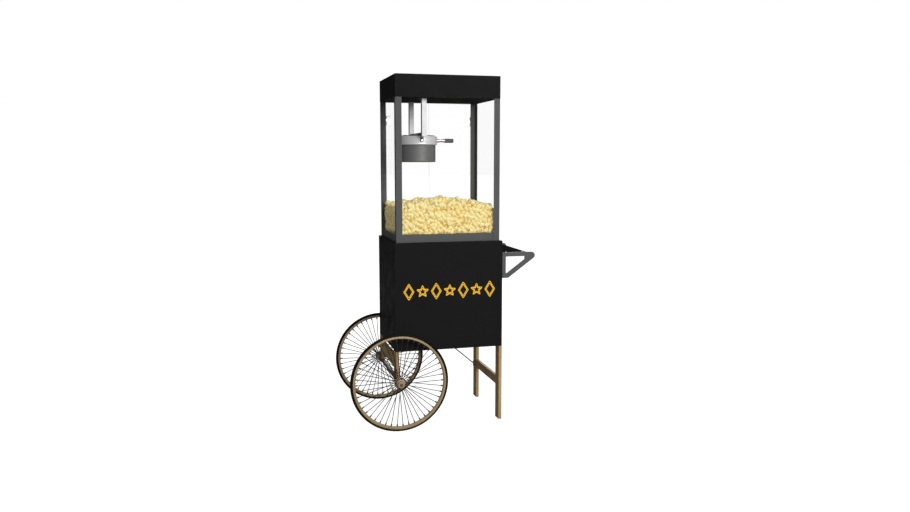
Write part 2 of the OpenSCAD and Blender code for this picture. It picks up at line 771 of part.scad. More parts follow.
module kettle_pot() color(steel) at_kettle() difference() {
    union() {
        translate([0, 0, pot_bottom]) cylinder(r = pot_r, h = pot_h);
        translate([0, 0, ring_h / 2]) cylinder(r = ring_r - 4, h = lip_t);
    }
    translate([0, 0, pot_bottom + pot_t]) cylinder(r = pot_r - pot_t, h = pot_h + lip_t);
    translate([0, 0, pot_bottom - 1]) cylinder(r = shaft_r + run_clear, h = pot_t + 2);
}

heater_h = 10;

module kettle_heater() color(iron) at_kettle() translate([0, 0, pot_bottom - heater_h]) difference() {
    cylinder(r = pot_r - 8, h = heater_h);
    translate([0, 0, -1]) cylinder(r = 30, h = heater_h + 2);
}

module stir_motor() color(iron) at_kettle() translate([0, 0, can_bottom + sheet_t])
    cylinder(r = 24, h = pot_bottom - 3 - can_bottom - sheet_t);

// Shaft through the pot floor with two sweeping arms
module stirrer() color(steel) at_kettle() {
    floor_z = pot_bottom + pot_t;
    arm_r = 2.5;
    arm_len = pot_r - pot_t - 5;
    translate([0, 0, pot_bottom - 2.5]) cylinder(r = shaft_r, h = pot_t + 6);
    translate([0, 0, floor_z + 1]) cylinder(r = 9, h = 16);
    translate([0, 0, floor_z + arm_r + 2]) rod_x(arm_r, -arm_len, arm_len);
    for (side = [-1, 1]) translate([side * (arm_len - 6), 0, floor_z + 1])
        translate([-6, -1.5, 0]) cube([12, 3, 12]);
}

// Bar across the pot, with lugs and the two pins that the lids turn on
module kettle_bridge() color(iron) at_kettle() {
    reach = ring_r - 6;
    box([-bridge_w / 2, -reach, lip_top], [bridge_w / 2, reach, lip_top + bridge_h]);
    for (side = [-1, 1]) translate([side * lid_axis_x, 0, lid_axis_z]) {
        rod_y(lid_pin_r, -lid_tube - slip - lid_lug, lid_tube + slip + lid_lug);
        for (y = [-lid_tube - slip - lid_lug, lid_tube + slip]) {
            rod_y(lid_knuckle_r, y, y + lid_lug);
            box([side > 0 ? -lid_axis_x + bridge_w / 2 - 1 : 0, y, -1.5],
                [side > 0 ? 0 : lid_axis_x - bridge_w / 2 + 1, y + lid_lug, 1.5]);
        }
    }
}

// Half-round lid with a rolled hinge tube, drawn for the right side
module lid() difference() {
    plate_z = lip_top + 0.6;
    plate_t = 1.5;
    union() {
        intersection() {
            translate([0, 0, plate_z]) cylinder(r = ring_r - 6, h = plate_t);
            box([lid_axis_x + 4, -ring_r, plate_z - 1], [ring_r, ring_r, plate_z + plate_t + 1]);
        }
        box([lid_axis_x, -lid_tube, plate_z], [lid_axis_x + 5, lid_tube, plate_z + plate_t]);
        translate([lid_axis_x, 0, lid_axis_z]) rod_y(lid_knuckle_r, -lid_tube, lid_tube);
        translate([ring_r * 0.62, 0, plate_z]) cylinder(r = lid_knob_r, h = lid_knob_h);
    }
    translate([lid_axis_x, 0, lid_axis_z]) rod_y(lid_pin_r + run_clear, -lid_tube - 1, lid_tube + 1);
}

module left_lid() color(steel) at_kettle() mirror([1, 0, 0]) lid();
module right_lid() color(steel) at_kettle() lid();

module kettle_handle() color(steel) at_kettle() rod_x(handle_dia / 2, ring_r - 4, ring_r + handle_len);

module handle_grip() color(coal) at_kettle()
    rod_x(handle_dia / 2 + 1, ring_r + handle_len, ring_r + handle_len + grip_len);

// ---- the cart ----

cabinet_front();
cabinet_left();
cabinet_right();
cabinet_floor();
cabinet_top();
cabinet_back_frame();
cabinet_door();
door_leaves();
door_latch();
front_leg();
rear_leg();
leg_crossbar();
leg_brace();
axle_legs();
axle_board();
axle();
axle_fittings();
front_wheel_tyre();
front_wheel_rim();
front_wheel_spokes();
front_wheel_hub();
rear_wheel_tyre();
rear_wheel_rim();
rear_wheel_spokes();
rear_wheel_hub();
shelf_board();
shelf_brackets();
front_ornament();
hinge_frames();
base_tray();
sifter_plate();
crumb_drawer();
corner_posts();
front_glass();
left_glass();
right_glass();
left_glass_door();
right_glass_door();
left_door_fittings();
right_door_fittings();
canopy();
ceiling_plate();
lamp();
switch_panel();
heat_switch();
stir_switch();
light_switch();
kettle_hangers();
kettle_ring();
kettle_can();
kettle_pot();
kettle_heater();
stir_motor();
stirrer();
kettle_bridge();
left_lid();
right_lid();
kettle_handle();
handle_grip();
popcorn();
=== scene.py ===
import math
import random

import bmesh
import bpy
from mathutils import Matrix, Vector
from mathutils.bvhtree import BVHTree
from mathutils.noise import noise


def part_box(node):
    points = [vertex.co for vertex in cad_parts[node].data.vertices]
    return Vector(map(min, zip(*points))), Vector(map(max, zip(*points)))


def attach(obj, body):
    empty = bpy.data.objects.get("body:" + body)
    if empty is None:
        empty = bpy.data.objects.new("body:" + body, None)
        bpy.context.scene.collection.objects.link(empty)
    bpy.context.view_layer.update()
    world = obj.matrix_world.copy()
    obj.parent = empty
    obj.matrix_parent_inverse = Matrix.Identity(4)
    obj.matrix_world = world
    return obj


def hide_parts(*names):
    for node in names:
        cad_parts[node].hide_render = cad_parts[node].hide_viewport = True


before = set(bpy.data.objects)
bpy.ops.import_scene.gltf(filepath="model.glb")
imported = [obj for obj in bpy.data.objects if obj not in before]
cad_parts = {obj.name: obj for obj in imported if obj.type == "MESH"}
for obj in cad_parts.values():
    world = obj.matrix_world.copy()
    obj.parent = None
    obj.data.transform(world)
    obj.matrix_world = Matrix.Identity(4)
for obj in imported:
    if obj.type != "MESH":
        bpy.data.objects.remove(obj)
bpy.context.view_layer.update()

# ---- Studio ----
# A pale floor, soft light from the front right, and a camera that looks up a
# little at the glass case from the left of the cart's front.
camera_place = (-0.8925, -3.721, 1.2074)
camera_turn = 0.263
camera_dip = 0.118
camera_lens = 32.12


def placed(name, data):
    """A new object in the scene."""
    thing = bpy.data.objects.new(name, data)
    bpy.context.collection.objects.link(thing)
    return thing


camera = placed("camera", bpy.data.cameras.new("camera"))
camera.location = camera_place
camera.rotation_euler = (math.pi / 2 - camera_dip, 0, -camera_turn)
camera.data.lens = camera_lens
bpy.context.scene.camera = camera
bpy.context.scene.view_settings.view_transform = "Standard"


class NodeTree:
    """A node tree being put together: add a node with its settings, its inputs and its links."""

    def __init__(self, tree):
        self.tree = tree

    def add(self, kind, inputs=(), **settings):
        node = self.tree.nodes.new(kind)
        for key, value in settings.items():
            setattr(node, key, value)
        for key, value in dict(inputs).items():
            if isinstance(value, bpy.types.NodeSocket):
                self.tree.links.new(value, node.inputs[key])
            else:
                node.inputs[key].default_value = value
        return node

    def math(self, operation, a, b=0.0):
        return self.add("ShaderNodeMath", {0: a, 1: b}, operation=operation).outputs[0]


class Finish(NodeTree):
    """A procedural material, with a few steps that the cart's finishes share."""

    def __init__(self, name, colour, roughness, **sockets):
        self.material = bpy.data.materials.new(name)
        self.material.use_nodes = True
        super().__init__(self.material.node_tree)
        self.shader = self.tree.nodes["Principled BSDF"]
        self.height = None
        self.colour = (*colour, 1)
        self.set("Base Color", self.colour)
        self.set("Roughness", roughness)
        for key, value in sockets.items():
            self.set(key.replace("_", " "), value)

    def set(self, key, value):
        if isinstance(value, bpy.types.NodeSocket):
            self.tree.links.new(value, self.shader.inputs[key])
        else:
            self.shader.inputs[key].default_value = value

    def noise(self, scale, detail=3, stretch=(1, 1, 1)):
        """Noise in the cart's own metres, stretched along an axis for grain or brushing."""
        where = self.add("ShaderNodeTexCoord").outputs["Object"]
        spread = self.add("ShaderNodeMapping", {"Vector": where, "Scale": stretch}).outputs[0]
        values = {"Vector": spread, "Scale": scale, "Detail": detail}
        return self.add("ShaderNodeTexNoise", values).outputs[0]

    def stored(self, name):
        """A value that the mesh carries."""
        return self.add("ShaderNodeAttribute", attribute_name=name).outputs["Fac"]

    def span(self, value, low, high, from_low=0.3, from_high=0.7):
        return self.add("ShaderNodeMapRange", {"Value": value, "From Min": from_low, "From Max": from_high,
                                               "To Min": low, "To Max": high}).outputs[0]

    def tint(self, factor, colour):
        """Lays a second colour over what is there, as much as factor says."""
        layers = {0: factor, 6: self.colour, 7: (*colour, 1)}
        self.colour = self.add("ShaderNodeMix", layers, data_type="RGBA").outputs[2]
        self.set("Base Color", self.colour)
        return self

    def mottle(self, scale, detail, amount, colour, start=0.3, end=0.7):
        """Lays a second colour over what is there in noise patches."""
        return self.tint(self.span(self.noise(scale, detail), 0, amount, start, end), colour)

    def rough(self, value, low, high):
        self.set("Roughness", self.span(value, low, high))
        return self

    def dent(self, height, distance, strength=1.0):
        """Adds a bump of the given depth in metres, on top of those there already."""
        inputs = {"Height": height, "Distance": distance, "Strength": strength}
        if self.height:
            inputs["Normal"] = self.height
        self.height = self.add("ShaderNodeBump", inputs).outputs[0]
        self.set("Normal", self.height)
        return self

    def grain(self, scale, detail, distance, strength, stretch=(1, 1, 1)):
        """Adds a bump of noise."""
        return self.dent(self.noise(scale, detail, stretch), distance, strength)

    def worn(self, colour, amount, scale=90):
        """Rubs the eased edges through to another colour, in patches."""
        edge = self.stored("ease")
        patch = self.span(self.noise(scale, 4), 0, amount, 0.45, 0.7)
        return self.tint(self.math("MULTIPLY", edge, patch), colour)


floor_radius = 60
floor_corners = 64
floor_glow = 0.95
floor_mesh = bpy.data.meshes.new("floor")
floor_mesh.from_pydata([(floor_radius * math.cos(i * math.tau / floor_corners),
                         floor_radius * math.sin(i * math.tau / floor_corners), 0)
                        for i in range(floor_corners)], [], [list(range(floor_corners))])
floor = placed("floor", floor_mesh)
floor_paint = Finish("floor_paint", (0.3, 0.3, 0.3), 0.9, Specular_IOR_Level=0.0,
                     Emission_Color=(1, 1, 1, 1))
seen = floor_paint.add("ShaderNodeLightPath").outputs["Is Camera Ray"]
floor_paint.set("Emission Strength", floor_paint.math("MULTIPLY", seen, floor_glow))
floor_mesh.materials.append(floor_paint.material)


def soft_box(name, place, size, watts):
    """A square studio light that looks at the middle of the cart."""
    light = placed(name, bpy.data.lights.new(name, "AREA"))
    light.data.size = size
    light.data.energy = watts
    light.location = place
    light.rotation_euler = (Vector((0, 0, 0.8)) - Vector(place)).to_track_quat("-Z", "Y").to_euler()


soft_box("key", (1.4, -4.9, 2.8), 2.4, 150)
soft_box("back", (1.5, 4.0, 3.0), 2.5, 110)

# The room is bright in front, dim behind and above, and darkest to the left
room_dim = 0.04
room_front = 0.62
room_back = 0.05
room_right = 0.08
room_left = -0.22
room_above = 0.3
room_least = 0.01
room_seen = 1.0

world = bpy.data.worlds.new("world")
bpy.context.scene.world = world
world.use_nodes = True
room = NodeTree(world.node_tree)
way = room.add("ShaderNodeTexCoord").outputs["Generated"]
direction = room.add("ShaderNodeSeparateXYZ", {0: way}).outputs
strength = room_dim
for axis, half, share in (("Y", "MINIMUM", -room_front), ("Y", "MAXIMUM", room_back),
                          ("X", "MAXIMUM", room_right), ("X", "MINIMUM", -room_left),
                          ("Z", "MAXIMUM", room_above)):
    strength = room.add("ShaderNodeMath", {0: room.math(half, direction[axis]), 1: share, 2: strength},
                        operation="MULTIPLY_ADD").outputs[0]
strength = room.math("MAXIMUM", strength, room_least)
lit = room.add("ShaderNodeBackground", {"Color": (1, 1, 1, 1), "Strength": strength})
white = room.add("ShaderNodeBackground", {"Color": (1, 1, 1, 1), "Strength": room_seen})
seen = room.add("ShaderNodeLightPath").outputs["Is Camera Ray"]
choice = room.add("ShaderNodeMixShader", {0: seen, 1: lit.outputs[0], 2: white.outputs[0]})
room.tree.links.new(choice.outputs[0], room.tree.nodes["World Output"].inputs["Surface"])

# ---- Cabinet boards ----
# The box is six wooden boards under satin black paint: front, two sides, floor,
# top and a back frame. Their edges are eased with sandpaper before painting.
board_ease = 0.0014
sharp_angle = 35
black_paint_colour = (0.0122, 0.0122, 0.0124)


def black_paint(name="black_paint", shine=0.03):
    paint = Finish(name, black_paint_colour, 0.42, Specular_IOR_Level=shine)
    paint.mottle(5, 5, 0.5, (0.0165, 0.0165, 0.0168))
    paint.worn((0.075, 0.07, 0.065), 0.55)
    paint.rough(paint.noise(14, 6), 0.42, 0.58)
    paint.grain(700, 2, 0.00012, 0.5)
    paint.grain(60, 3, 0.0002, 0.1, (1, 1, 0.15))
    return paint.material


def as_piece(name, mesh, *materials):
    """A piece from a finished mesh, standing at the origin."""
    for material in materials:
        mesh.materials.append(material)
    return placed(name, mesh)


def flat_and_round(piece, angle=40):
    """Smooth on what is round, flat on what is flat, with the big faces setting the shading."""
    piece.data.shade_smooth()
    piece.data.set_sharp_from_angle(angle=math.radians(angle))
    weight = piece.modifiers.new("weight", "WEIGHTED_NORMAL")
    weight.keep_sharp = True
    weight.weight = 80
    return settled(piece)


def settled(piece):
    """Turns a piece's modifiers into plain mesh and removes them."""
    shape = piece.evaluated_get(bpy.context.evaluated_depsgraph_get())
    mesh = bpy.data.meshes.new_from_object(shape)
    piece.modifiers.clear()
    piece.data = mesh
    return piece


def plain_mesh(name, shape):
    mesh = bpy.data.meshes.new(name)
    shape.to_mesh(mesh)
    shape.free()
    return mesh


def eased(name, material, node, width=board_ease, steps=2):
    """The shape of a CAD node with every sharp edge rounded over."""
    shape = bmesh.new()
    shape.from_mesh(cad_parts[node].data)
    bmesh.ops.remove_doubles(shape, verts=shape.verts, dist=1e-5)
    bmesh.ops.dissolve_limit(shape, angle_limit=math.radians(0.5), verts=shape.verts, edges=shape.edges)
    sharp = [e for e in shape.edges if e.is_manifold and e.calc_face_angle(0) > math.radians(sharp_angle)]
    made = bmesh.ops.bevel(shape, geom=sharp, offset=width, segments=steps, profile=0.5, affect="EDGES")
    layer = shape.loops.layers.float.new("ease")
    for face in made["faces"]:
        for loop in face.loops:
            loop[layer] = 1.0
    for face in shape.faces:
        face.material_index = 0
    return flat_and_round(as_piece(name, plain_mesh(name, shape), material))


def fit(piece, body, slot, *nodes):
    """Fastens a piece to a body and puts it in place of its CAD nodes. The slot, meant to name its finish,
    is not used.
    """
    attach(piece, body)
    if nodes:
        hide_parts(*nodes)
    return piece


def dress(name, material, body, slot, node, **ease):
    """The usual piece: a CAD node's shape with eased edges, in that node's place."""
    return fit(eased(name, material, node, **ease), body, slot, node)


cabinet_black = black_paint()
for board in ("front", "left", "right", "floor", "top", "back_frame"):
    dress(board + "_board", cabinet_black, "cart", "black_board", "cabinet_" + board)
dress("back_door", cabinet_black, "cabinet_door", "black_board", "cabinet_door")

# ---- Hinges, latch and their screws ----
# Steel butt hinges on the cabinet door and the clear doors, and a turn latch.
# The leaves are pressed from sheet and held with countersunk screws.
screw_radius = 0.0028
screw_height = 0.0009
knuckle_radius = 0.0034
leaf_sheet = 0.002


def bright_steel(name, streak=(60, 60, 900), colour=(0.72, 0.72, 0.72), low=0.24, high=0.4, metal=1.0):
    """Brushed steel. The streak gives how fast the brushing changes along X, Y and Z."""
    steel = Finish(name, colour, 0.3, Metallic=metal)
    lines = steel.noise(1, 4, streak)
    steel.mottle(9, 4, 0.35, tuple(c * 0.72 for c in colour))
    steel.tint(steel.span(lines, 0, 0.3), tuple(min(1, c * 1.15) for c in colour))
    steel.rough(lines, low, high)
    steel.dent(lines, 0.00006, 0.35)
    return steel.material


def round_row(shape, sides, radius, height, share=lambda i: 1):
    """A ring of new vertices about +Z."""
    return [shape.verts.new((radius * share(i) * math.cos(i * math.tau / sides),
                             radius * share(i) * math.sin(i * math.tau / sides), height))
            for i in range(sides)]


def bridge_rows(shape, low, high):
    """Faces between two rings of vertices."""
    for i in range(len(low)):
        j = (i + 1) % len(low)
        shape.faces.new((low[i], low[j], high[j], high[i]))


def screw_head():
    """A round screw head with a crossed slot, a few dozen faces, looking along +Z."""
    sides = 16
    slot_depth = 0.1
    shape = bmesh.new()
    rows = [round_row(shape, sides, r, h) for r, h in ((1.0, 0.0), (1.0, 0.35), (0.82, 0.8), (0.45, 1.0))]
    rows.append(round_row(shape, sides, 0.45, slot_depth, lambda i: 1 if i % 4 < 1 else 0.45))
    for low, high in zip(rows, rows[1:]):
        bridge_rows(shape, low, high)
    shape.faces.new(rows[-1])
    shape.faces.new(rows[0][::-1])
    return bpy.data.objects.new("screw_head", plain_mesh("screw_head", shape))


class Recipe(NodeTree):
    """A geometry node tree with named inputs, and the plain mesh that it makes."""

    def __init__(self, name, **inputs):
        super().__init__(bpy.data.node_groups.new(name, "GeometryNodeTree"))
        face = self.tree.interface
        face.new_socket("Geometry", in_out="OUTPUT", socket_type="NodeSocketGeometry")
        face.new_socket("Geometry", in_out="INPUT", socket_type="NodeSocketGeometry")
        for key, kind in inputs.items():
            face.new_socket(key.replace("_", " "), in_out="INPUT", socket_type="NodeSocket" + kind)
        self.entry = self.tree.nodes.new("NodeGroupInput").outputs

    def geo(self, kind, inputs=(), **settings):
        return self.add("GeometryNode" + kind, inputs, **settings).outputs[0]

    def end(self, geometry, material):
        """Realises what was made, gives it its material and sends it out."""
        real = self.geo("RealizeInstances", {"Geometry": geometry})
        painted = self.geo("SetMaterial", {"Geometry": real, "Material": material})
        self.add("NodeGroupOutput", {"Geometry": painted})

    def make(self, name, mesh, **values):
        piece = placed(name, mesh)
        step = piece.modifiers.new("recipe", "NODES")
        step.node_group = self.tree
        for item in self.tree.interface.items_tree:
            key = item.name.replace(" ", "_")
            if item.in_out == "INPUT" and key in values:
                step[item.identifier] = values[key]
        return settled(piece)


def screw_recipe():
    """One head on each point, looking the way that the point's aim says."""
    recipe = Recipe("screws", Head="Object", Radius="Float", Height="Float", Metal="Material")
    head = recipe.add("GeometryNodeObjectInfo", {"Object": recipe.entry["Head"]}).outputs["Geometry"]
    aim = recipe.geo("InputNamedAttribute", {"Name": "aim"}, data_type="FLOAT_VECTOR")
    turn = recipe.add("FunctionNodeAlignRotationToVector", {"Vector": aim}, axis="Z").outputs[0]
    size = recipe.add("ShaderNodeCombineXYZ", {0: recipe.entry["Radius"], 1: recipe.entry["Radius"],
                                               2: recipe.entry["Height"]}).outputs[0]
    heads = recipe.geo("InstanceOnPoints", {"Points": recipe.entry["Geometry"], "Instance": head,
                                                        "Rotation": turn, "Scale": size})
    recipe.end(heads, recipe.entry["Metal"])
    return recipe


def points_mesh(name, points, aims):
    """Loose points, each with the direction that its screw or rivet looks."""
    mesh = bpy.data.meshes.new(name)
    mesh.from_pydata(points, [], [])
    aim = mesh.attributes.new("aim", "FLOAT_VECTOR", "POINT")
    aim.data.foreach_set("vector", [c for a in aims for c in a])
    return mesh


round_head = screw_head()
put_screws = screw_recipe()


def screws(name, body, slot, metal, points, aim, radius=screw_radius, height=screw_height, head=round_head):
    piece = put_screws.make(name, points_mesh(name, points, [aim] * len(points)), Head=head, Radius=radius,
                            Height=height, Metal=metal)
    return fit(flat_and_round(piece, 50), body, slot)


hinge_steel = bright_steel("hinge_steel")
dress("hinge_halves", hinge_steel, "cart", "fittings", "hinge_frames", width=0.0004)
dress("back_door_leaves", hinge_steel, "cabinet_door", "fittings", "door_leaves", width=0.0004)
dress("turn_latch", hinge_steel, "door_latch", "fittings", "door_latch", width=0.0008)

hinge_height = 0.045
leaf_reach = 0.0155


def leaf_screws(axis_x, face_y, levels, side):
    """Three screw places on each hinge leaf that reaches to one side of the pin."""
    return [(axis_x + side * leaf_reach, face_y, level + hinge_height * share)
            for level in levels for share in (0.16, 0.5, 0.84)]


cab_low, cab_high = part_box("door_leaves")
cab_levels = (cab_low.z, cab_high.z - hinge_height)
cab_axis = cab_low.x + knuckle_radius
cab_leaf_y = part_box("cabinet_door")[1].y + leaf_sheet
screws("door_leaf_screws", "cabinet_door", "fittings", hinge_steel,
       leaf_screws(cab_axis, cab_leaf_y, cab_levels, 1), (0, 1, 0))
screws("frame_leaf_screws", "cart", "fittings", hinge_steel,
       leaf_screws(cab_axis, cab_leaf_y, cab_levels, -1), (0, 1, 0))

# ---- Legs and the boards between them ----
# Two long legs with a crossbar at the shelf end, and two short legs with a
# board over the axle at the wheel end. Oiled oak, sawn along the grain.
oak_colour = (0.56, 0.37, 0.16)


def oak(name, grain):
    """Oiled oak. The grain gives how fast it changes along X, Y and Z: slow is along the grain."""
    wood = Finish(name, oak_colour, 0.5, Specular_IOR_Level=0.2)
    rings = wood.noise(1, 6, grain)
    fine = wood.noise(1, 3, tuple(g * 6 for g in grain))
    wood.tint(wood.span(rings, 0, 0.75, 0.35, 0.65), (0.36, 0.225, 0.088))
    wood.tint(wood.span(fine, 0, 0.45, 0.5, 0.72), (0.21, 0.13, 0.055))
    wood.mottle(4, 2, 0.3, (0.64, 0.45, 0.22))
    wood.worn((0.16, 0.11, 0.06), 0.7)
    wood.rough(rings, 0.42, 0.62)
    wood.dent(fine, 0.0004, 0.5)
    return wood.material


upright_oak = oak("upright_oak", (70, 70, 5))
level_oak = oak("level_oak", (70, 5, 70))
for leg in ("front_leg", "rear_leg", "axle_legs"):
    dress("oak_" + leg, upright_oak, "cart", "oak", leg)
for rail in ("leg_crossbar", "axle_board"):
    dress("oak_" + rail, level_oak, "cart", "oak", rail)

# ---- Brace, axle and axle straps ----
# The brace is a thin painted rod with a plate at each end. The square axle is
# strapped under the short legs, with washers and a cap at each end.
def painted_iron(name, colour, chip):
    iron = Finish(name, colour, 0.45, Metallic=0.25)
    iron.mottle(20, 5, 0.5, tuple(c * 0.7 for c in colour))
    iron.worn(chip, 0.6)
    iron.rough(iron.noise(35, 4), 0.36, 0.58)
    iron.grain(500, 3, 0.00015, 0.5)
    return iron.material


brace_paint = painted_iron("brace_paint", (0.34, 0.26, 0.14), (0.4, 0.36, 0.3))
axle_paint = painted_iron("axle_paint", (0.14, 0.11, 0.075), (0.35, 0.33, 0.3))
dress("brace_rod", brace_paint, "cart", "brace_steel", "leg_brace", width=0.0006)
dress("axle_bar", axle_paint, "cart", "axle_steel", "axle", width=0.0008)
dress("axle_straps", axle_paint, "cart", "axle_steel", "axle_fittings", width=0.0006)


def hex_head():
    """A six-sided bolt head with a small dome, looking along +Z."""
    shape = bmesh.new()
    rows = [round_row(shape, 6, r, h) for r, h in ((1.0, 0.0), (1.0, 0.72), (0.86, 0.95), (0.3, 1.0))]
    for low, high in zip(rows, rows[1:]):
        bridge_rows(shape, low, high)
    shape.faces.new(rows[-1])
    shape.faces.new(rows[0][::-1])
    return bpy.data.objects.new("hex_head", plain_mesh("hex_head", shape))


bolt_head = hex_head()
strap_low, strap_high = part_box("axle_fittings")
short_leg_low, short_leg_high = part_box("axle_legs")
leg_half = 0.026
strap_y = short_leg_high.y - leg_half
bolt_level = strap_high.z - 0.008
bolt_radius = 0.0055
bolt_height = 0.004
for side, out in ((-1, strap_low.x), (1, strap_high.x)):
    screws("strap_bolts_" + ("left" if side < 0 else "right"), "cart", "axle_steel", axle_paint,
           [(out, y, bolt_level) for y in (-strap_y, strap_y)], (side, 0, 0), bolt_radius, bolt_height,
           bolt_head)

# ---- Wheels ----
# Each wheel has a round rubber tyre in a rolled rim, wire spokes that run in
# turn to the two flanges of a turned hub, and a brass nipple at each rim end.
tyre_sides = 20
wheel_steps = 160
on_centre = 0.00001
spoke_count = 46
spoke_radius = 0.0016
nipple_length = 0.011
rim_deep = 0.012
lip_round = 0.0013
seam_proud = 0.00035
rim_hollow = 0.0045
hub_steps = 48
hub_bore = 0.00605
hub_grip = 0.0155
flange_out = 0.020
gold_colour = (0.46, 0.335, 0.18)


def turned(name, profile, material, place, steps=64, angle=40):
    """A lathe-turned ring or spindle. The profile is (radius, height) pairs, going round once."""
    shape = bmesh.new()
    rows = []
    for i in range(steps):
        a = i * math.tau / steps
        rows.append([shape.verts.new((r * math.cos(a), r * math.sin(a), h)) for r, h in profile])
    count = len(profile)
    for i in range(steps):
        here, there = rows[i], rows[(i + 1) % steps]
        for k in range(count):
            j = (k + 1) % count
            shape.faces.new((here[k], there[k], there[j], here[j]))
    bmesh.ops.remove_doubles(shape, verts=shape.verts, dist=1e-6)
    bmesh.ops.recalc_face_normals(shape, faces=shape.faces)
    mesh = plain_mesh(name, shape)
    mesh.transform(place)
    return flat_and_round(as_piece(name, mesh, material), angle)


def capped(line):
    """A profile closed by flat ends that meet the centre line."""
    return [(on_centre, line[0][1])] + line + [(on_centre, line[-1][1])]


def arc_points(cx, cy, radius, start, end, count):
    """Points on an arc from start to end, in degrees."""
    turns = [math.radians(start + (end - start) * i / count) for i in range(count + 1)]
    return [(cx + radius * math.cos(a), cy + radius * math.sin(a)) for a in turns]


def spoke_recipe():
    """Spokes about Z: one wire and its nipple, copied round and flipped to each flange in turn."""
    r = Recipe("spokes", Count="Int", Hub_radius="Float", Rim_radius="Float", Flange="Float",
               Wire_radius="Float", Nipple="Float", Wire="Material", Brass="Material")
    e = r.entry
    start = r.add("ShaderNodeCombineXYZ", {0: e["Hub radius"], 2: e["Flange"]}).outputs[0]
    end = r.add("ShaderNodeCombineXYZ", {0: e["Rim radius"]}).outputs[0]
    line = r.geo("CurvePrimitiveLine", {"Start": start, "End": end})
    ring = r.geo("CurvePrimitiveCircle", {"Resolution": 8, "Radius": e["Wire radius"]})
    wire = r.geo("CurveToMesh", {"Curve": line, "Profile Curve": ring, "Fill Caps": True})
    wire = r.geo("SetMaterial", {"Geometry": wire, "Material": e["Wire"]})
    share = r.math("DIVIDE", e["Nipple"], e["Rim radius"])
    inward = r.add("ShaderNodeVectorMath", {0: start, 1: end}, operation="SUBTRACT").outputs[0]
    step = r.add("ShaderNodeVectorMath", {0: inward, "Scale": share}, operation="SCALE").outputs[0]
    neck = r.add("ShaderNodeVectorMath", {0: end, 1: step}, operation="ADD").outputs[0]
    stub = r.geo("CurvePrimitiveLine", {"Start": neck, "End": end})
    wide = r.math("MULTIPLY", e["Wire radius"], 2.0)
    collar = r.geo("CurvePrimitiveCircle", {"Resolution": 8, "Radius": wide})
    nipple = r.geo("CurveToMesh", {"Curve": stub, "Profile Curve": collar, "Fill Caps": True})
    nipple = r.geo("SetMaterial", {"Geometry": nipple, "Material": e["Brass"]})
    both = r.add("GeometryNodeJoinGeometry")
    r.tree.links.new(wire, both.inputs[0])
    r.tree.links.new(nipple, both.inputs[0])
    index = r.geo("InputIndex")
    turn = r.math("DIVIDE", r.math("MULTIPLY", index, math.tau), e["Count"])
    flip = r.math("MULTIPLY", r.math("MODULO", index, 2.0), math.pi)
    angles = r.add("ShaderNodeCombineXYZ", {0: flip, 2: turn}).outputs[0]
    points = r.geo("Points", {"Count": e["Count"]})
    copies = r.geo("InstanceOnPoints", {"Points": points, "Instance": both.outputs[0],
                                                    "Rotation": angles})
    real = r.geo("RealizeInstances", {"Geometry": copies})
    r.add("NodeGroupOutput", {"Geometry": real})
    return r


rubber = Finish("tyre_rubber", (0.005, 0.005, 0.005), 0.6, Specular_IOR_Level=0.1)
rubber.mottle(12, 6, 0.6, (0.012, 0.0115, 0.011), 0.45, 0.7)
rubber.rough(rubber.noise(25, 5), 0.5, 0.75)
rubber.grain(900, 2, 0.0002, 0.5)
gold = Finish("gold_paint", gold_colour, 0.38)
gold.mottle(10, 5, 0.5, (0.30, 0.215, 0.11))
gold.mottle(120, 4, 0.4, (0.12, 0.08, 0.045), 0.6, 0.72)
gold.rough(gold.noise(40, 4), 0.3, 0.5)
gold.grain(600, 2, 0.0001, 0.4)
spoke_wire = painted_iron("spoke_wire", (0.022, 0.018, 0.012), (0.08, 0.065, 0.045))
spoke_brass = painted_iron("spoke_brass", (0.07, 0.052, 0.03), (0.2, 0.15, 0.08))
cut_spokes = spoke_recipe()

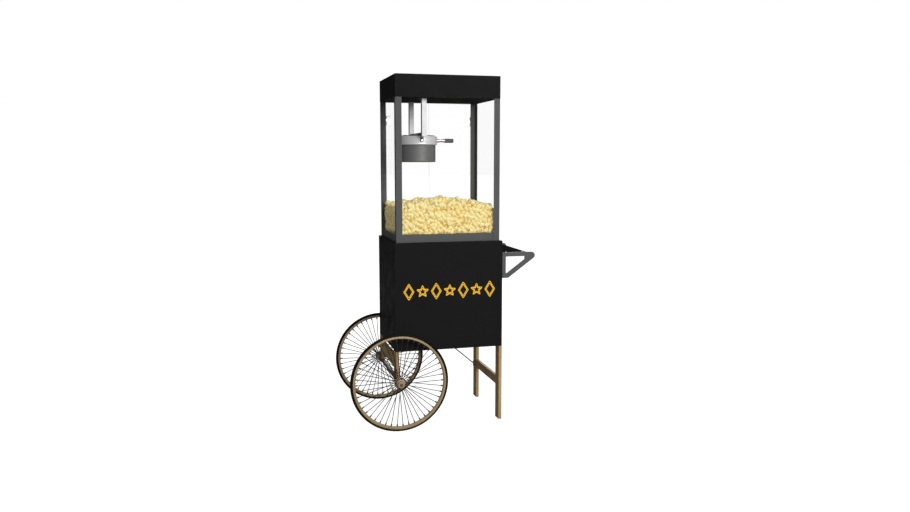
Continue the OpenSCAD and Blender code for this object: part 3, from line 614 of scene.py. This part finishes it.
for side, end in ((-1, "front"), (1, "rear")):
    tyre_low, tyre_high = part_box(end + "_wheel_tyre")
    rim_low, rim_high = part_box(end + "_wheel_rim")
    hub_low, hub_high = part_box(end + "_wheel_hub")
    centre = (tyre_low + tyre_high) / 2
    on_axle = Matrix.Translation(centre) @ Matrix.Rotation(-side * math.pi / 2, 4, "X")
    outer = (tyre_high.x - tyre_low.x) / 2
    half = (tyre_high.y - tyre_low.y) / 2
    body = end + "_wheel"

    seam = [(r + (seam_proud if 80 < i * 360 / tyre_sides < 100 or abs(i - tyre_sides / 2) < 1 else 0), h)
            for i, (r, h) in enumerate(arc_points(0, 0, half, 0, 360 - 360 / tyre_sides, tyre_sides - 1))]
    tyre = turned(end + "_tyre", [(outer - half + r, h) for r, h in seam], rubber.material, on_axle,
                  wheel_steps)
    fit(tyre, body, "tyre", body + "_tyre")

    rim_outer = (rim_high.z - rim_low.z) / 2
    rim_half = (rim_high.y - rim_low.y) / 2
    rim_inner = rim_outer - rim_deep
    belly = [(rim_inner + rim_hollow * abs(s) ** 3, s * rim_half * 0.93)
             for s in (-1, -0.75, -0.45, 0, 0.45, 0.75, 1)]
    lip = arc_points(rim_outer - lip_round, rim_half - lip_round, lip_round, 60, -40, 4)
    channel = arc_points(outer - half, 0, half, 147, 213, 6)
    rim_profile = belly + lip[::-1] + channel + [(r, -h) for r, h in lip]
    fit(turned(end + "_rim", rim_profile, gold.material, on_axle, wheel_steps), body, "gold_metal",
        body + "_rim")

    flange = (hub_high.z - hub_low.z) / 2
    long = (hub_high.y - hub_low.y) / 2
    nose = [(hub_bore, long), (0.0125, long), (0.0145, long - 0.0008), (0.015, long - 0.003),
            (0.015, long - 0.012), (0.0138, long - 0.0135), (0.0138, flange_out + 0.0035)]
    plate = [(flange - 0.001, flange_out + 0.002), (flange, flange_out + 0.001),
             (flange, flange_out - 0.001), (flange - 0.001, flange_out - 0.002)]
    waist = [(0.0125, flange_out - 0.0035), (0.0105, flange_out - 0.009), (0.0098, 0.004)]
    half_hub = nose + plate + waist
    hub_profile = half_hub + [(r, -h) for r, h in half_hub[::-1]]
    fit(turned(end + "_hub", hub_profile, gold.material, on_axle, hub_steps), body, "gold_metal",
        body + "_hub")

    wires = cut_spokes.make(end + "_spokes", bpy.data.meshes.new(end + "_spokes"), Count=spoke_count,
                            Hub_radius=hub_grip, Rim_radius=rim_inner + 0.001, Flange=flange_out,
                            Wire_radius=spoke_radius, Nipple=nipple_length, Wire=spoke_wire,
                            Brass=spoke_brass)
    wires.data.transform(on_axle)
    fit(flat_and_round(wires, 60), body, "spoke_steel", body + "_spokes")

# ---- Side shelf ----
# A black board lies level between two cast brackets, each a triangle with a
# round nose, in grey powder coat. Four screws hold the board to the brackets.
coat = Finish("grey_coat", (0.118, 0.123, 0.120), 0.45, Specular_IOR_Level=0.06)
coat.mottle(7, 4, 0.5, (0.097, 0.101, 0.099))
coat.worn((0.3, 0.3, 0.3), 0.6)
coat.rough(coat.noise(30, 4), 0.38, 0.55)
coat.grain(1100, 2, 0.00012, 0.6)
grey_metal = coat.material
shelf_black = black_paint("shelf_black", 0.0)
dress("shelf_plank", shelf_black, "cart", "black_board", "shelf_board")
dress("bracket_pair", grey_metal, "cart", "grey_metal", "shelf_brackets", width=0.0018, steps=3)
shelf_low, shelf_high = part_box("shelf_board")
shelf_screw_x = 0.02
shelf_screw_y = 0.008
shelf_screw_radius = 0.0035
screws("shelf_screws", "cart", "fittings", hinge_steel,
       [(x, y, shelf_high.z) for x in (shelf_low.x + shelf_screw_x, shelf_high.x - shelf_screw_x)
        for y in (shelf_low.y + shelf_screw_y, shelf_high.y - shelf_screw_y)], (0, 0, 1), shelf_screw_radius)

# ---- Lamp ornament on the front ----
# Seven shapes in a row, lozenge and star in turn. Each has an outer and an
# inner outline of bent amber tube, with a row of small round lamps between.
ornament_low, ornament_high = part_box("front_ornament")
ornament_middle = (ornament_low + ornament_high) / 2
ornament_count = 7
ornament_pitch = (ornament_high.x - ornament_low.x) / (ornament_count - 1 + 0.8)
tube_radius = 0.0017
lamp_radius = 0.0021
lamp_spacing = 0.0085
tube_bend = 0.0022
star_outer = 0.48
star_inner = 0.21
lozenge_tall = (ornament_high.z - ornament_low.z) / 2 - tube_radius
lozenge_wide = 0.4 * ornament_pitch - tube_radius


def lozenge(scale):
    return [(0, lozenge_tall * scale), (-lozenge_wide * scale, 0), (0, -lozenge_tall * scale),
            (lozenge_wide * scale, 0)]


def star(scale):
    reach = [(star_inner if i % 2 else star_outer) * ornament_pitch * scale for i in range(10)]
    return [(r * math.cos(math.radians(90 + 36 * i)), r * math.sin(math.radians(90 + 36 * i)))
            for i, r in enumerate(reach)]


def outlines(name, scales):
    """The closed lines of all seven shapes at the given scales, flat on the front board."""
    points, edges = [], []
    for i in range(ornament_count):
        shift = (i - (ornament_count - 1) / 2) * ornament_pitch
        shape, inner = (lozenge, 0.72) if i % 2 == 0 else (star, 0.62)
        for share in scales:
            line = shape(inner + (1 - inner) * share)
            first = len(points)
            points += [(ornament_middle.x + shift + x, ornament_low.y + tube_radius, ornament_middle.z + z)
                       for x, z in line]
            edges += [(first + k, first + (k + 1) % len(line)) for k in range(len(line))]
    mesh = bpy.data.meshes.new(name)
    mesh.from_pydata(points, edges, [])
    return mesh


def tube_recipe():
    r = Recipe("amber_tube", Radius="Float", Glass="Material")
    line = r.geo("MeshToCurve", {"Mesh": r.entry["Geometry"]})
    fillet = r.geo("FilletCurve", {"Curve": line, "Radius": tube_bend, "Count": 4}, mode="POLY")
    ring = r.geo("CurvePrimitiveCircle", {"Resolution": 10, "Radius": r.entry["Radius"]})
    tube = r.geo("CurveToMesh", {"Curve": fillet, "Profile Curve": ring})
    r.end(tube, r.entry["Glass"])
    return r


def lamp_recipe():
    r = Recipe("small_lamps", Radius="Float", Spacing="Float", Glass="Material")
    line = r.geo("MeshToCurve", {"Mesh": r.entry["Geometry"]})
    even = r.geo("ResampleCurve", {"Curve": line, "Length": r.entry["Spacing"]}, mode="LENGTH")
    ball = r.geo("MeshIcoSphere", {"Radius": r.entry["Radius"], "Subdivisions": 2})
    copies = r.geo("InstanceOnPoints", {"Points": even, "Instance": ball})
    r.end(copies, r.entry["Glass"])
    return r


def amber_glass(name, colour, glow):
    amber = Finish(name, colour, 0.22, IOR=1.5, Emission_Color=(*colour, 1), Emission_Strength=glow)
    amber.mottle(160, 3, 0.5, tuple(c * 0.72 for c in colour))
    amber.grain(500, 2, 0.0001, 0.3)
    return amber.material


amber_tube = amber_glass("amber_tube", (0.88, 0.48, 0.02), 0.3)
amber_lamp = amber_glass("amber_lamp", (0.95, 0.66, 0.12), 0.3)
tubes = tube_recipe().make("ornament_tubes", outlines("ornament_tubes", (0, 1)), Radius=tube_radius,
                           Glass=amber_tube)
fit(flat_and_round(tubes, 60), "cart", "amber", "front_ornament")
lamps = lamp_recipe().make("ornament_lamps", outlines("ornament_lamps", (0.5,)), Radius=lamp_radius,
                           Spacing=lamp_spacing, Glass=amber_lamp)
fit(flat_and_round(lamps, 60), "cart", "amber")

# ---- Tray, sifter plate and crumb drawer ----
# The case stands in a folded tray in grey powder coat. Its floor is a slotted
# steel plate, and crumbs fall through it into a drawer that opens at the back.
tray_steel = bright_steel("tray_steel", (30, 700, 30), (0.6, 0.6, 0.59), 0.3, 0.5)
dress("case_tray", grey_metal, "cart", "grey_metal", "base_tray", width=0.0006)
dress("slotted_floor", tray_steel, "cart", "stainless", "sifter_plate", width=0.0003)
dress("drawer", grey_metal, "crumb_drawer", "grey_metal", "crumb_drawer", width=0.0005)

# ---- Corner posts ----
# Four aluminium angles hold the glass. A screw near each end fastens each leg
# of the angle to the tray below and to the canopy's frame above.
dress("angle_posts", grey_metal, "cart", "grey_metal", "corner_posts", width=0.0006)
post_low, post_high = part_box("corner_posts")
post_screw_in = 0.015
post_screw_levels = (post_low.z + 0.018, post_high.z - 0.018)
for name, x, side in (("left", post_low.x, -1), ("right", post_high.x, 1)):
    screws(name + "_post_screws", "cart", "fittings", grey_metal,
           [(x, y, z) for y in (post_low.y + post_screw_in, post_high.y - post_screw_in)
            for z in post_screw_levels], (side, 0, 0))
for name, y, side in (("front", post_low.y, -1), ("back", post_high.y, 1)):
    screws(name + "_post_screws", "cart", "fittings", grey_metal,
           [(x, y, z) for x in (post_low.x + post_screw_in, post_high.x - post_screw_in)
            for z in post_screw_levels], (0, side, 0))

# ---- Glass and clear doors ----
# Three panes of 4 mm glass, and two clear doors with polished edges at the
# back. The cut edges show the green of the glass.
glass_green = (0.36, 0.62, 0.5)
pane_ease = 0.0005


def clear_glass(name, tint, edge_seen):
    glass = Finish(name, (0.9, 0.95, 0.93), 0.04, IOR=1.5)
    edge = glass.stored("edge")
    shine = glass.add("ShaderNodeFresnel", {"IOR": 1.5}).outputs[0]
    haze = glass.span(glass.noise(6, 5), 0.0, 0.003, 0.45, 0.75)
    clear = glass.math("ADD", glass.math("MULTIPLY", shine, 0.05), haze)
    glass.tint(edge, tint)
    glass.set("Alpha", glass.math("MAXIMUM", clear, glass.math("MULTIPLY", edge, edge_seen)))
    glass.rough(glass.noise(9, 5), 0.02, 0.09)
    return glass.material


def pane(name, material, node):
    """A pane with eased corners. The faces that run across its thickness are marked as edge."""
    piece = eased(name, material, node, width=pane_ease)
    low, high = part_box(node)
    thin = min(range(3), key=lambda axis: high[axis] - low[axis])
    mark = piece.data.attributes.new("edge", "FLOAT", "FACE")
    mark.data.foreach_set("value", [0.0 if abs(face.normal[thin]) > 0.9 else 1.0
                                    for face in piece.data.polygons])
    return piece


case_glass = clear_glass("case_glass", glass_green, 0.5)
for side in ("front", "left", "right"):
    fit(pane(side + "_pane", case_glass, side + "_glass"), "cart", "glass", side + "_glass")

door_glass = clear_glass("door_glass", (0.6, 0.75, 0.72), 0.35)
knob_from = 0.0045
knob_black = painted_iron("knob_black", (0.012, 0.012, 0.012), (0.05, 0.05, 0.05))
for side in ("left", "right"):
    body = side + "_glass_door"
    fit(pane(side + "_clear_door", door_glass, body), body, "glass", body)
    leaves = eased(side + "_door_metal", hinge_steel, side + "_door_fittings", width=0.0006)
    knob_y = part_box(body)[1].y + knob_from
    leaves.data.materials.append(knob_black)
    for face in leaves.data.polygons:
        if face.center.y > knob_y:
            face.material_index = 1
    fit(leaves, body, "fittings", side + "_door_fittings")

# ---- Popcorn ----
# A heap of popped kernels fills the case from wall to wall. Each kernel has a few puffed lobes,
# cream on the lobes and orange-brown in the creases: partly the brown hull, partly painted crease shade.
kernel_radius = 0.0185
kernel_kinds = 7
kernel_spacing = 0.0152
heap_rough = 0.023
heap_step = 0.008
heap_seed = 11
densest = 30000.0
corn_low, corn_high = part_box("popcorn")


def kernel(seed):
    """One popped kernel of about unit radius, with its puff stored for the colour: low puff darkens the
    creases, partly the brown hull and partly painted shade.
    """
    chance = random.Random(seed)
    lobes = []
    while len(lobes) < 6:
        way = Vector([chance.gauss(0, 1) for _ in range(3)]).normalized()
        if all(way.dot(other) < 0.55 for other in lobes):
            lobes.append(way)
    shape = bmesh.new()
    bmesh.ops.create_icosphere(shape, subdivisions=2, radius=1)
    puff = shape.verts.layers.float.new("puff")
    for vert in shape.verts:
        near = max(vert.co.normalized().dot(way) for way in lobes)
        share = min(1, max(0, (near - 0.55) / 0.4))
        vert[puff] = share
        vert.co = vert.co.normalized() * (0.56 + 0.38 * share + chance.uniform(-0.05, 0.05))
    for face in shape.faces:
        face.smooth = True
    return bpy.data.objects.new("kernel", plain_mesh("kernel", shape))


def heap_recipe():
    """Kernels strewn over a surface, each with its own turn, size and tone."""
    r = Recipe("heap", Kernels="Collection", Spacing="Float", Smallest="Float", Largest="Float", Seed="Int",
               Popped="Material")
    e = r.entry
    points = r.geo("DistributePointsOnFaces",
                   {"Mesh": e["Geometry"], "Distance Min": e["Spacing"], "Density Max": densest,
                    "Seed": e["Seed"]},
                   distribute_method="POISSON")
    kinds = r.geo("CollectionInfo", {"Collection": e["Kernels"], "Separate Children": True,
                                                 "Reset Children": True})
    turn = r.add("FunctionNodeRandomValue", {"Max": (math.tau, math.tau, math.tau), "Seed": 1},
                 data_type="FLOAT_VECTOR").outputs[0]
    size = r.add("FunctionNodeRandomValue", {2: e["Smallest"], 3: e["Largest"], "Seed": 2}).outputs[1]
    kind = r.add("FunctionNodeRandomValue", {"Seed": 3}, data_type="INT").outputs[2]
    copies = r.geo("InstanceOnPoints", {"Points": points, "Instance": kinds, "Pick Instance": True,
                                                    "Instance Index": kind, "Rotation": turn,
                                                    "Scale": size})
    tone = r.add("FunctionNodeRandomValue", {"Seed": 4}).outputs[1]
    toned = r.geo("StoreNamedAttribute", {"Geometry": copies, "Name": "tone", "Value": tone},
                  domain="INSTANCE")
    r.end(toned, e["Popped"])
    return r


def heap_surface(name, inset, sink, lowest):
    """The heap's outside, drawn in from the glass and down from the top of the CAD heap."""
    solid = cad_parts["popcorn"].data
    ray = BVHTree.FromPolygons([v.co for v in solid.vertices], [p.vertices for p in solid.polygons])
    x0, x1, y0, y1 = corn_low.x + inset, corn_high.x - inset, corn_low.y + inset, corn_high.y - inset
    across, along = round((x1 - x0) / heap_step), round((y1 - y0) / heap_step)
    shape = bmesh.new()
    top = []
    for i in range(across + 1):
        x = x0 + (x1 - x0) * i / across
        row = []
        for j in range(along + 1):
            y = y0 + (y1 - y0) * j / along
            level = ray.ray_cast((x, y, corn_high.z + 1), (0, 0, -1))[0].z
            lump = noise((x * 22, y * 22, 3.1)) + 0.7 * noise((x * 55, y * 55, 7.7))
            row.append(shape.verts.new((x, y, level - sink + heap_rough * lump)))
        top.append(row)
    for i in range(across):
        for j in range(along):
            shape.faces.new((top[i][j], top[i + 1][j], top[i + 1][j + 1], top[i][j + 1]))
    rim = [row[0] for row in top] + top[-1][1:] + [row[-1] for row in top[-2::-1]] + top[0][-2:0:-1]
    foot = [shape.verts.new((v.co.x, v.co.y, lowest)) for v in rim]
    for k in range(len(rim)):
        n = (k + 1) % len(rim)
        shape.faces.new((rim[k], foot[k], foot[n], rim[n]))
    shape.faces.new(foot[::-1])
    bmesh.ops.recalc_face_normals(shape, faces=shape.faces)
    return plain_mesh(name, shape)


kernels = bpy.data.collections.new("kernels")
for seed in range(kernel_kinds):
    kernels.objects.link(kernel(seed))
# The kernels' faint warm Emission is a painted glow, not a lamp: it lifts their shaded sides.
corn = Finish("popped_corn", (0.58, 0.30, 0.06), 0.75, Specular_IOR_Level=0.2,
              Emission_Color=(1.0, 0.78, 0.32, 1), Emission_Strength=0.055)
puff = corn.stored("puff")
tone = corn.stored("tone")
# By puff: orange-brown in the creases, then golden, then cream on the lobes. The dark creases are partly the
# brown hull, partly painted shade.
corn.tint(corn.span(puff, 0, 1, 0.0, 0.35), (0.93, 0.68, 0.22))
corn.tint(corn.span(puff, 0, 1, 0.25, 0.85), (1.0, 0.92, 0.50))
corn.tint(corn.span(tone, 0, 0.4, 0.5, 1.0), (0.94, 0.70, 0.2))
corn.mottle(260, 3, 0.5, (0.62, 0.32, 0.06), 0.64, 0.76)
corn.grain(420, 3, 0.0012, 0.5)
popped = corn.material
# The core under the kernels is coloured as popcorn in shade: painted shade that shows in the gaps between
# kernels.
deep_corn = Finish("deep_corn", (0.66, 0.41, 0.10), 0.85, Specular_IOR_Level=0.1)
deep_corn.mottle(80, 4, 1, (0.88, 0.65, 0.22))
deep_corn.grain(120, 3, 0.004, 0.6)
fit(flat_and_round(as_piece("popcorn_core", heap_surface("popcorn_core", kernel_radius * 0.9,
                                                         kernel_radius, corn_low.z + 0.001),
                            deep_corn.material)), "cart", "popcorn", "popcorn")
skin = heap_surface("popcorn_kernels", kernel_radius + 0.0006, kernel_radius * 0.5,
                    corn_low.z + kernel_radius * 0.45)
bottom = bmesh.new()
bottom.from_mesh(skin)
bmesh.ops.delete(bottom, geom=[f for f in bottom.faces if f.normal.z < -0.9], context="FACES")
bottom.to_mesh(skin)
bottom.free()
heap = heap_recipe().make("popcorn_kernels", skin, Kernels=kernels, Spacing=kernel_spacing,
                          Smallest=kernel_radius * 0.72, Largest=kernel_radius, Seed=heap_seed,
                          Popped=popped)
fit(heap, "cart", "popcorn")

# ---- Canopy, ceiling plate and lamp ----
# The canopy is a folded sheet box in satin black. A plate closes it below,
# with a round window for the lamp that lights and warms the popcorn. The bulb is drawn unlit; the popcorn's
# warm glow is painted light.
sheet_black = black_paint("sheet_black")
ceiling_black = black_paint("ceiling_black", 0.0)
dress("canopy_box", sheet_black, "cart", "black_paint", "canopy", width=0.0012)
dress("ceiling_sheet", ceiling_black, "cart", "black_paint", "ceiling_plate", width=0.0004)
canopy_low, canopy_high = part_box("canopy")
canopy_screw_up = 0.012
for name, x, side in (("left", canopy_low.x, -1), ("right", canopy_high.x, 1)):
    screws(name + "_canopy_screws", "cart", "fittings", sheet_black,
           [(x, y, canopy_low.z + canopy_screw_up) for y in (-0.15, 0, 0.15)], (side, 0, 0))

lamp_low, lamp_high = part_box("lamp")
lamp_axis = Matrix.Translation(((lamp_low.x + lamp_high.x) / 2, 0, 0))
bulb_radius = 0.0218
bulb_middle = lamp_low.z + 0.022
bulb_end = lamp_high.z - 0.032
lamp_steps = 40
thread_radius = 0.0138
thread_depth = 0.0009
thread_pitch = 0.0022
bulb = Finish("bulb_glass", (0.95, 0.92, 0.84), 0.25, IOR=1.5, Emission_Color=(1.0, 0.86, 0.62, 1),
              Emission_Strength=0.0)
bulb.mottle(30, 2, 0.3, (0.9, 0.84, 0.7))
bulb_line = arc_points(0, bulb_middle, bulb_radius, -90, 38, 16) + [(0.0135, bulb_end)]
fit(turned("lamp_bulb", [(max(r, on_centre), z) for r, z in bulb_line] + [(on_centre, bulb_end)],
           bulb.material, lamp_axis, lamp_steps), "cart", "lamp", "lamp")
brass = bright_steel("lamp_brass", (40, 40, 900), (0.6, 0.46, 0.2), 0.25, 0.4)
thread = [(thread_radius - (thread_depth if i % 2 else 0), bulb_end + thread_pitch * i) for i in range(9)]
fit(turned("lamp_thread", capped(thread), brass, lamp_axis, lamp_steps), "cart", "lamp")
ceramic = Finish("lamp_ceramic", (0.8, 0.78, 0.72), 0.25)
ceramic.mottle(25, 4, 0.5, (0.66, 0.63, 0.56))
socket = [(0.0185, lamp_high.z - 0.0142), (0.0198, lamp_high.z - 0.0128), (0.0198, lamp_high.z - 0.0002)]
fit(turned("lamp_socket", capped(socket), ceramic.material, lamp_axis, lamp_steps), "cart", "lamp")

# ---- Switch panel, rockers and cord gland ----
# A brushed steel plate at the back of the canopy carries three rocker switches
# and the gland for the mains cord. Each rocker is one black moulding.
panel_steel = bright_steel("panel_steel", (20, 20, 900), (0.55, 0.55, 0.55), 0.3, 0.45)
nylon = Finish("gland_nylon", (0.02, 0.02, 0.02), 0.45)
nylon.mottle(60, 3, 0.5, (0.035, 0.035, 0.035))
nylon.grain(900, 2, 0.0001, 0.5)
panel_low, panel_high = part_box("switch_panel")
plate_face = panel_high.y - 0.014
panel = eased("switch_plate", panel_steel, "switch_panel", width=0.0005)
panel.data.materials.append(nylon.material)
for face in panel.data.polygons:
    if face.center.y > plate_face + 0.0002:
        face.material_index = 1
fit(panel, "cart", "fittings", "switch_panel")
panel_screw_in = 0.007
panel_screw_levels = (canopy_low.z + 0.022, canopy_low.z + 0.078)
panel_screw_radius = 0.0024
screws("panel_screws", "cart", "fittings", hinge_steel,
       [(x, plate_face, z) for x in (panel_low.x + panel_screw_in, panel_high.x - panel_screw_in)
        for z in panel_screw_levels], (0, 1, 0), panel_screw_radius)

rocker_black = painted_iron("rocker_black", (0.015, 0.015, 0.015), (0.04, 0.04, 0.04))
for name in ("heat", "stir", "light"):
    node = name + "_switch"
    dress(name + "_rocker", rocker_black, node, "rocker", node, width=0.0006)

# ---- Kettle ----
# A spun steel ring and pot with a dark can under them, a bridge with two hinged
# half lids, a stirrer, and a handle. It hangs on two square bars.
ring_low, ring_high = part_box("kettle_ring")
can_low, can_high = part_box("kettle_can")
pot_low, pot_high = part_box("kettle_pot")
kettle_centre = Vector(((ring_low.x + ring_high.x) / 2, 0, (ring_low.z + ring_high.z) / 2))
kettle_axis = Matrix.Translation(kettle_centre)
ring_radius = (ring_high.x - ring_low.x) / 2
ring_half = (ring_high.z - ring_low.z) / 2
ring_bore = 0.080
round_edge = 0.002
trunnion_radius = 0.005
kettle_steps = 96
handle_steps = 48

ring_steel = bright_steel("ring_steel", (30, 30, 1200), (0.84, 0.85, 0.85), 0.34, 0.5, 0.25)
handle_steel = bright_steel("handle_steel", (900, 30, 30), (0.6, 0.6, 0.6), 0.3, 0.45)
pot_steel = Finish("pot_steel", (0.62, 0.62, 0.61), 0.3, Metallic=1.0)
pot_steel.mottle(30, 5, 0.8, (0.42, 0.3, 0.15), 0.45, 0.7)
pot_steel.rough(pot_steel.noise(50, 4), 0.22, 0.5)
can_metal = painted_iron("can_metal", (0.2, 0.2, 0.2), (0.4, 0.4, 0.4))

bead = [(ring_radius - dip, z - ring_half)
        for dip, z in ((0, 0.006), (0.0007, 0.0075), (0.0007, 0.0095), (0, 0.011))]
ring_line = (arc_points(ring_radius - round_edge, -ring_half + round_edge, round_edge, -90, 0, 4) + bead +
             [(r, -z) for r, z in bead[::-1]] +
             arc_points(ring_radius - round_edge, ring_half - round_edge, round_edge, 0, 90, 4) +
             [(ring_bore, ring_half), (ring_bore, -ring_half)])
fit(turned("spun_ring", ring_line, ring_steel, kettle_axis, kettle_steps), "kettle", "stainless",
    "kettle_ring")
for side in (-1, 1):
    sideways = kettle_axis @ Matrix.Rotation(-side * math.pi / 2, 4, "X")
    tip = ring_high.y
    pin = capped([(trunnion_radius, ring_radius - 0.002), (trunnion_radius, tip - 0.0008),
                  (trunnion_radius - 0.0008, tip)])
    fit(turned("trunnion_" + ("front" if side < 0 else "back"), pin, hinge_steel, sideways, 32), "kettle",
        "stainless")

can_radius = (can_high.x - can_low.x) / 2
can_drop = can_low.z - kettle_centre.z
can_wall = 0.002
can_corner = 0.006
can_bend = (can_radius - can_corner, can_drop + can_corner)
can_line = capped(arc_points(*can_bend, can_corner, -90, 0, 6) +
                  [(can_radius, -ring_half - 0.0003), (can_radius - can_wall, -ring_half - 0.0003)] +
                  arc_points(*can_bend, can_corner - can_wall, 0, -90, 6))
fit(turned("spun_can", can_line, can_metal, kettle_axis, kettle_steps), "kettle", "dark_steel", "kettle_can")

pot_radius = 0.078
pot_wall = 0.002
pot_corner = 0.008
pot_floor = pot_low.z - kettle_centre.z
lip_radius = (pot_high.x - pot_low.x) / 2
lip_top = pot_high.z - kettle_centre.z
shaft_hole = 0.00405
pot_bend = (pot_radius - pot_corner, pot_floor + pot_corner)
lip_line = [(pot_radius, ring_half + 0.0001), (lip_radius - 0.0007, ring_half + 0.0001),
            (lip_radius, ring_half + 0.0008), (lip_radius - 0.0006, lip_top),
            (pot_radius - pot_wall + 0.0015, lip_top), (pot_radius - pot_wall, lip_top - 0.0015)]
pot_line = ([(shaft_hole, pot_floor)] + arc_points(*pot_bend, pot_corner, -90, 0, 6) + lip_line +
            arc_points(*pot_bend, pot_corner - pot_wall, 0, -90, 6) + [(shaft_hole, pot_floor + pot_wall)])
fit(turned("spun_pot", pot_line, pot_steel.material, kettle_axis, kettle_steps), "kettle", "stainless",
    "kettle_pot")

cast_metal = painted_iron("cast_metal", (0.3, 0.3, 0.29), (0.5, 0.5, 0.5))
dress("heater_plate", cast_metal, "kettle", "dark_steel", "kettle_heater", width=0.001)
dress("motor_case", cast_metal, "kettle", "dark_steel", "stir_motor", width=0.0015)
dress("stirring_arms", hinge_steel, "stirrer", "stainless", "stirrer", width=0.0006)

bridge_metal = painted_iron("bridge_metal", (0.15, 0.15, 0.15), (0.35, 0.35, 0.35))
lid_steel = bright_steel("lid_steel", (300, 30, 30), (0.72, 0.72, 0.72), 0.22, 0.38)
dress("cross_bridge", bridge_metal, "kettle", "dark_steel", "kettle_bridge", width=0.0007)
lid_knob_inside = 0.045
lid_knob_outside = 0.066
lid_knob_level = kettle_centre.z + lip_top + 0.0024
for side in ("left", "right"):
    lid = eased(side + "_half_lid", lid_steel, side + "_lid", width=0.0004)
    lid.data.materials.append(knob_black)
    for face in lid.data.polygons:
        out = abs(face.center.x - kettle_centre.x)
        if lid_knob_inside < out < lid_knob_outside and face.center.z > lid_knob_level:
            face.material_index = 1
    fit(lid, side + "_lid", "stainless", side + "_lid")

handle_low, handle_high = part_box("kettle_handle")
grip_low, grip_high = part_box("handle_grip")
along_x = Matrix.Translation((0, 0, kettle_centre.z)) @ Matrix.Rotation(math.pi / 2, 4, "Y")
handle_radius = (handle_high.z - handle_low.z) / 2
grip_radius = (grip_high.z - grip_low.z) / 2
collar = handle_low.x + 0.008
bar = capped([(handle_radius, handle_low.x), (handle_radius, collar + 0.003),
              (handle_radius - 0.0012, collar + 0.0045), (handle_radius - 0.0012, handle_high.x - 0.004),
              (handle_radius, handle_high.x - 0.003), (handle_radius, handle_high.x)])
fit(turned("turned_handle", bar, handle_steel, along_x, handle_steps), "kettle", "stainless",
    "kettle_handle")
grip_rubber = Finish("grip_rubber", (0.11, 0.11, 0.11), 0.55)
grip_rubber.mottle(60, 4, 0.6, (0.16, 0.16, 0.16))
grip_rubber.grain(800, 2, 0.0002, 0.6)
grooves = []
groove_count = 6
groove_margin = 0.006
for i in range(groove_count):
    x = grip_low.x + groove_margin + (grip_high.x - grip_low.x - 2 * groove_margin) * i / (groove_count - 1)
    grooves += [(grip_radius - dip, x + step)
                for dip, step in ((0, -0.0014), (0.0009, -0.0006), (0.0009, 0.0006), (0, 0.0014))]
grip_line = capped([(grip_radius - 0.001, grip_low.x), (grip_radius, grip_low.x + 0.001)] + grooves +
                   [(grip_radius, grip_high.x - 0.003), (grip_radius - 0.0009, grip_high.x - 0.0009),
                    (grip_radius - 0.003, grip_high.x)])
fit(turned("ribbed_grip", grip_line, grip_rubber.material, along_x, handle_steps), "kettle", "grip",
    "handle_grip")

hanger_steel = bright_steel("hanger_steel", (40, 900, 40), (0.64, 0.65, 0.65), 0.42, 0.55, 0.35)
hangers = eased("hanger_bars", hanger_steel, "kettle_hangers", width=0.0008)
# The plate between the two bars takes the dark bridge paint: painted shade on one steel strap.
hangers.data.materials.append(bridge_metal)
bar_depth = 0.024
bar_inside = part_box("kettle_hangers")[1].y - bar_depth
for face in hangers.data.polygons:
    if abs(face.center.y) < bar_inside - 0.0002:
        face.material_index = 1
fit(hangers, "cart", "stainless", "kettle_hangers")
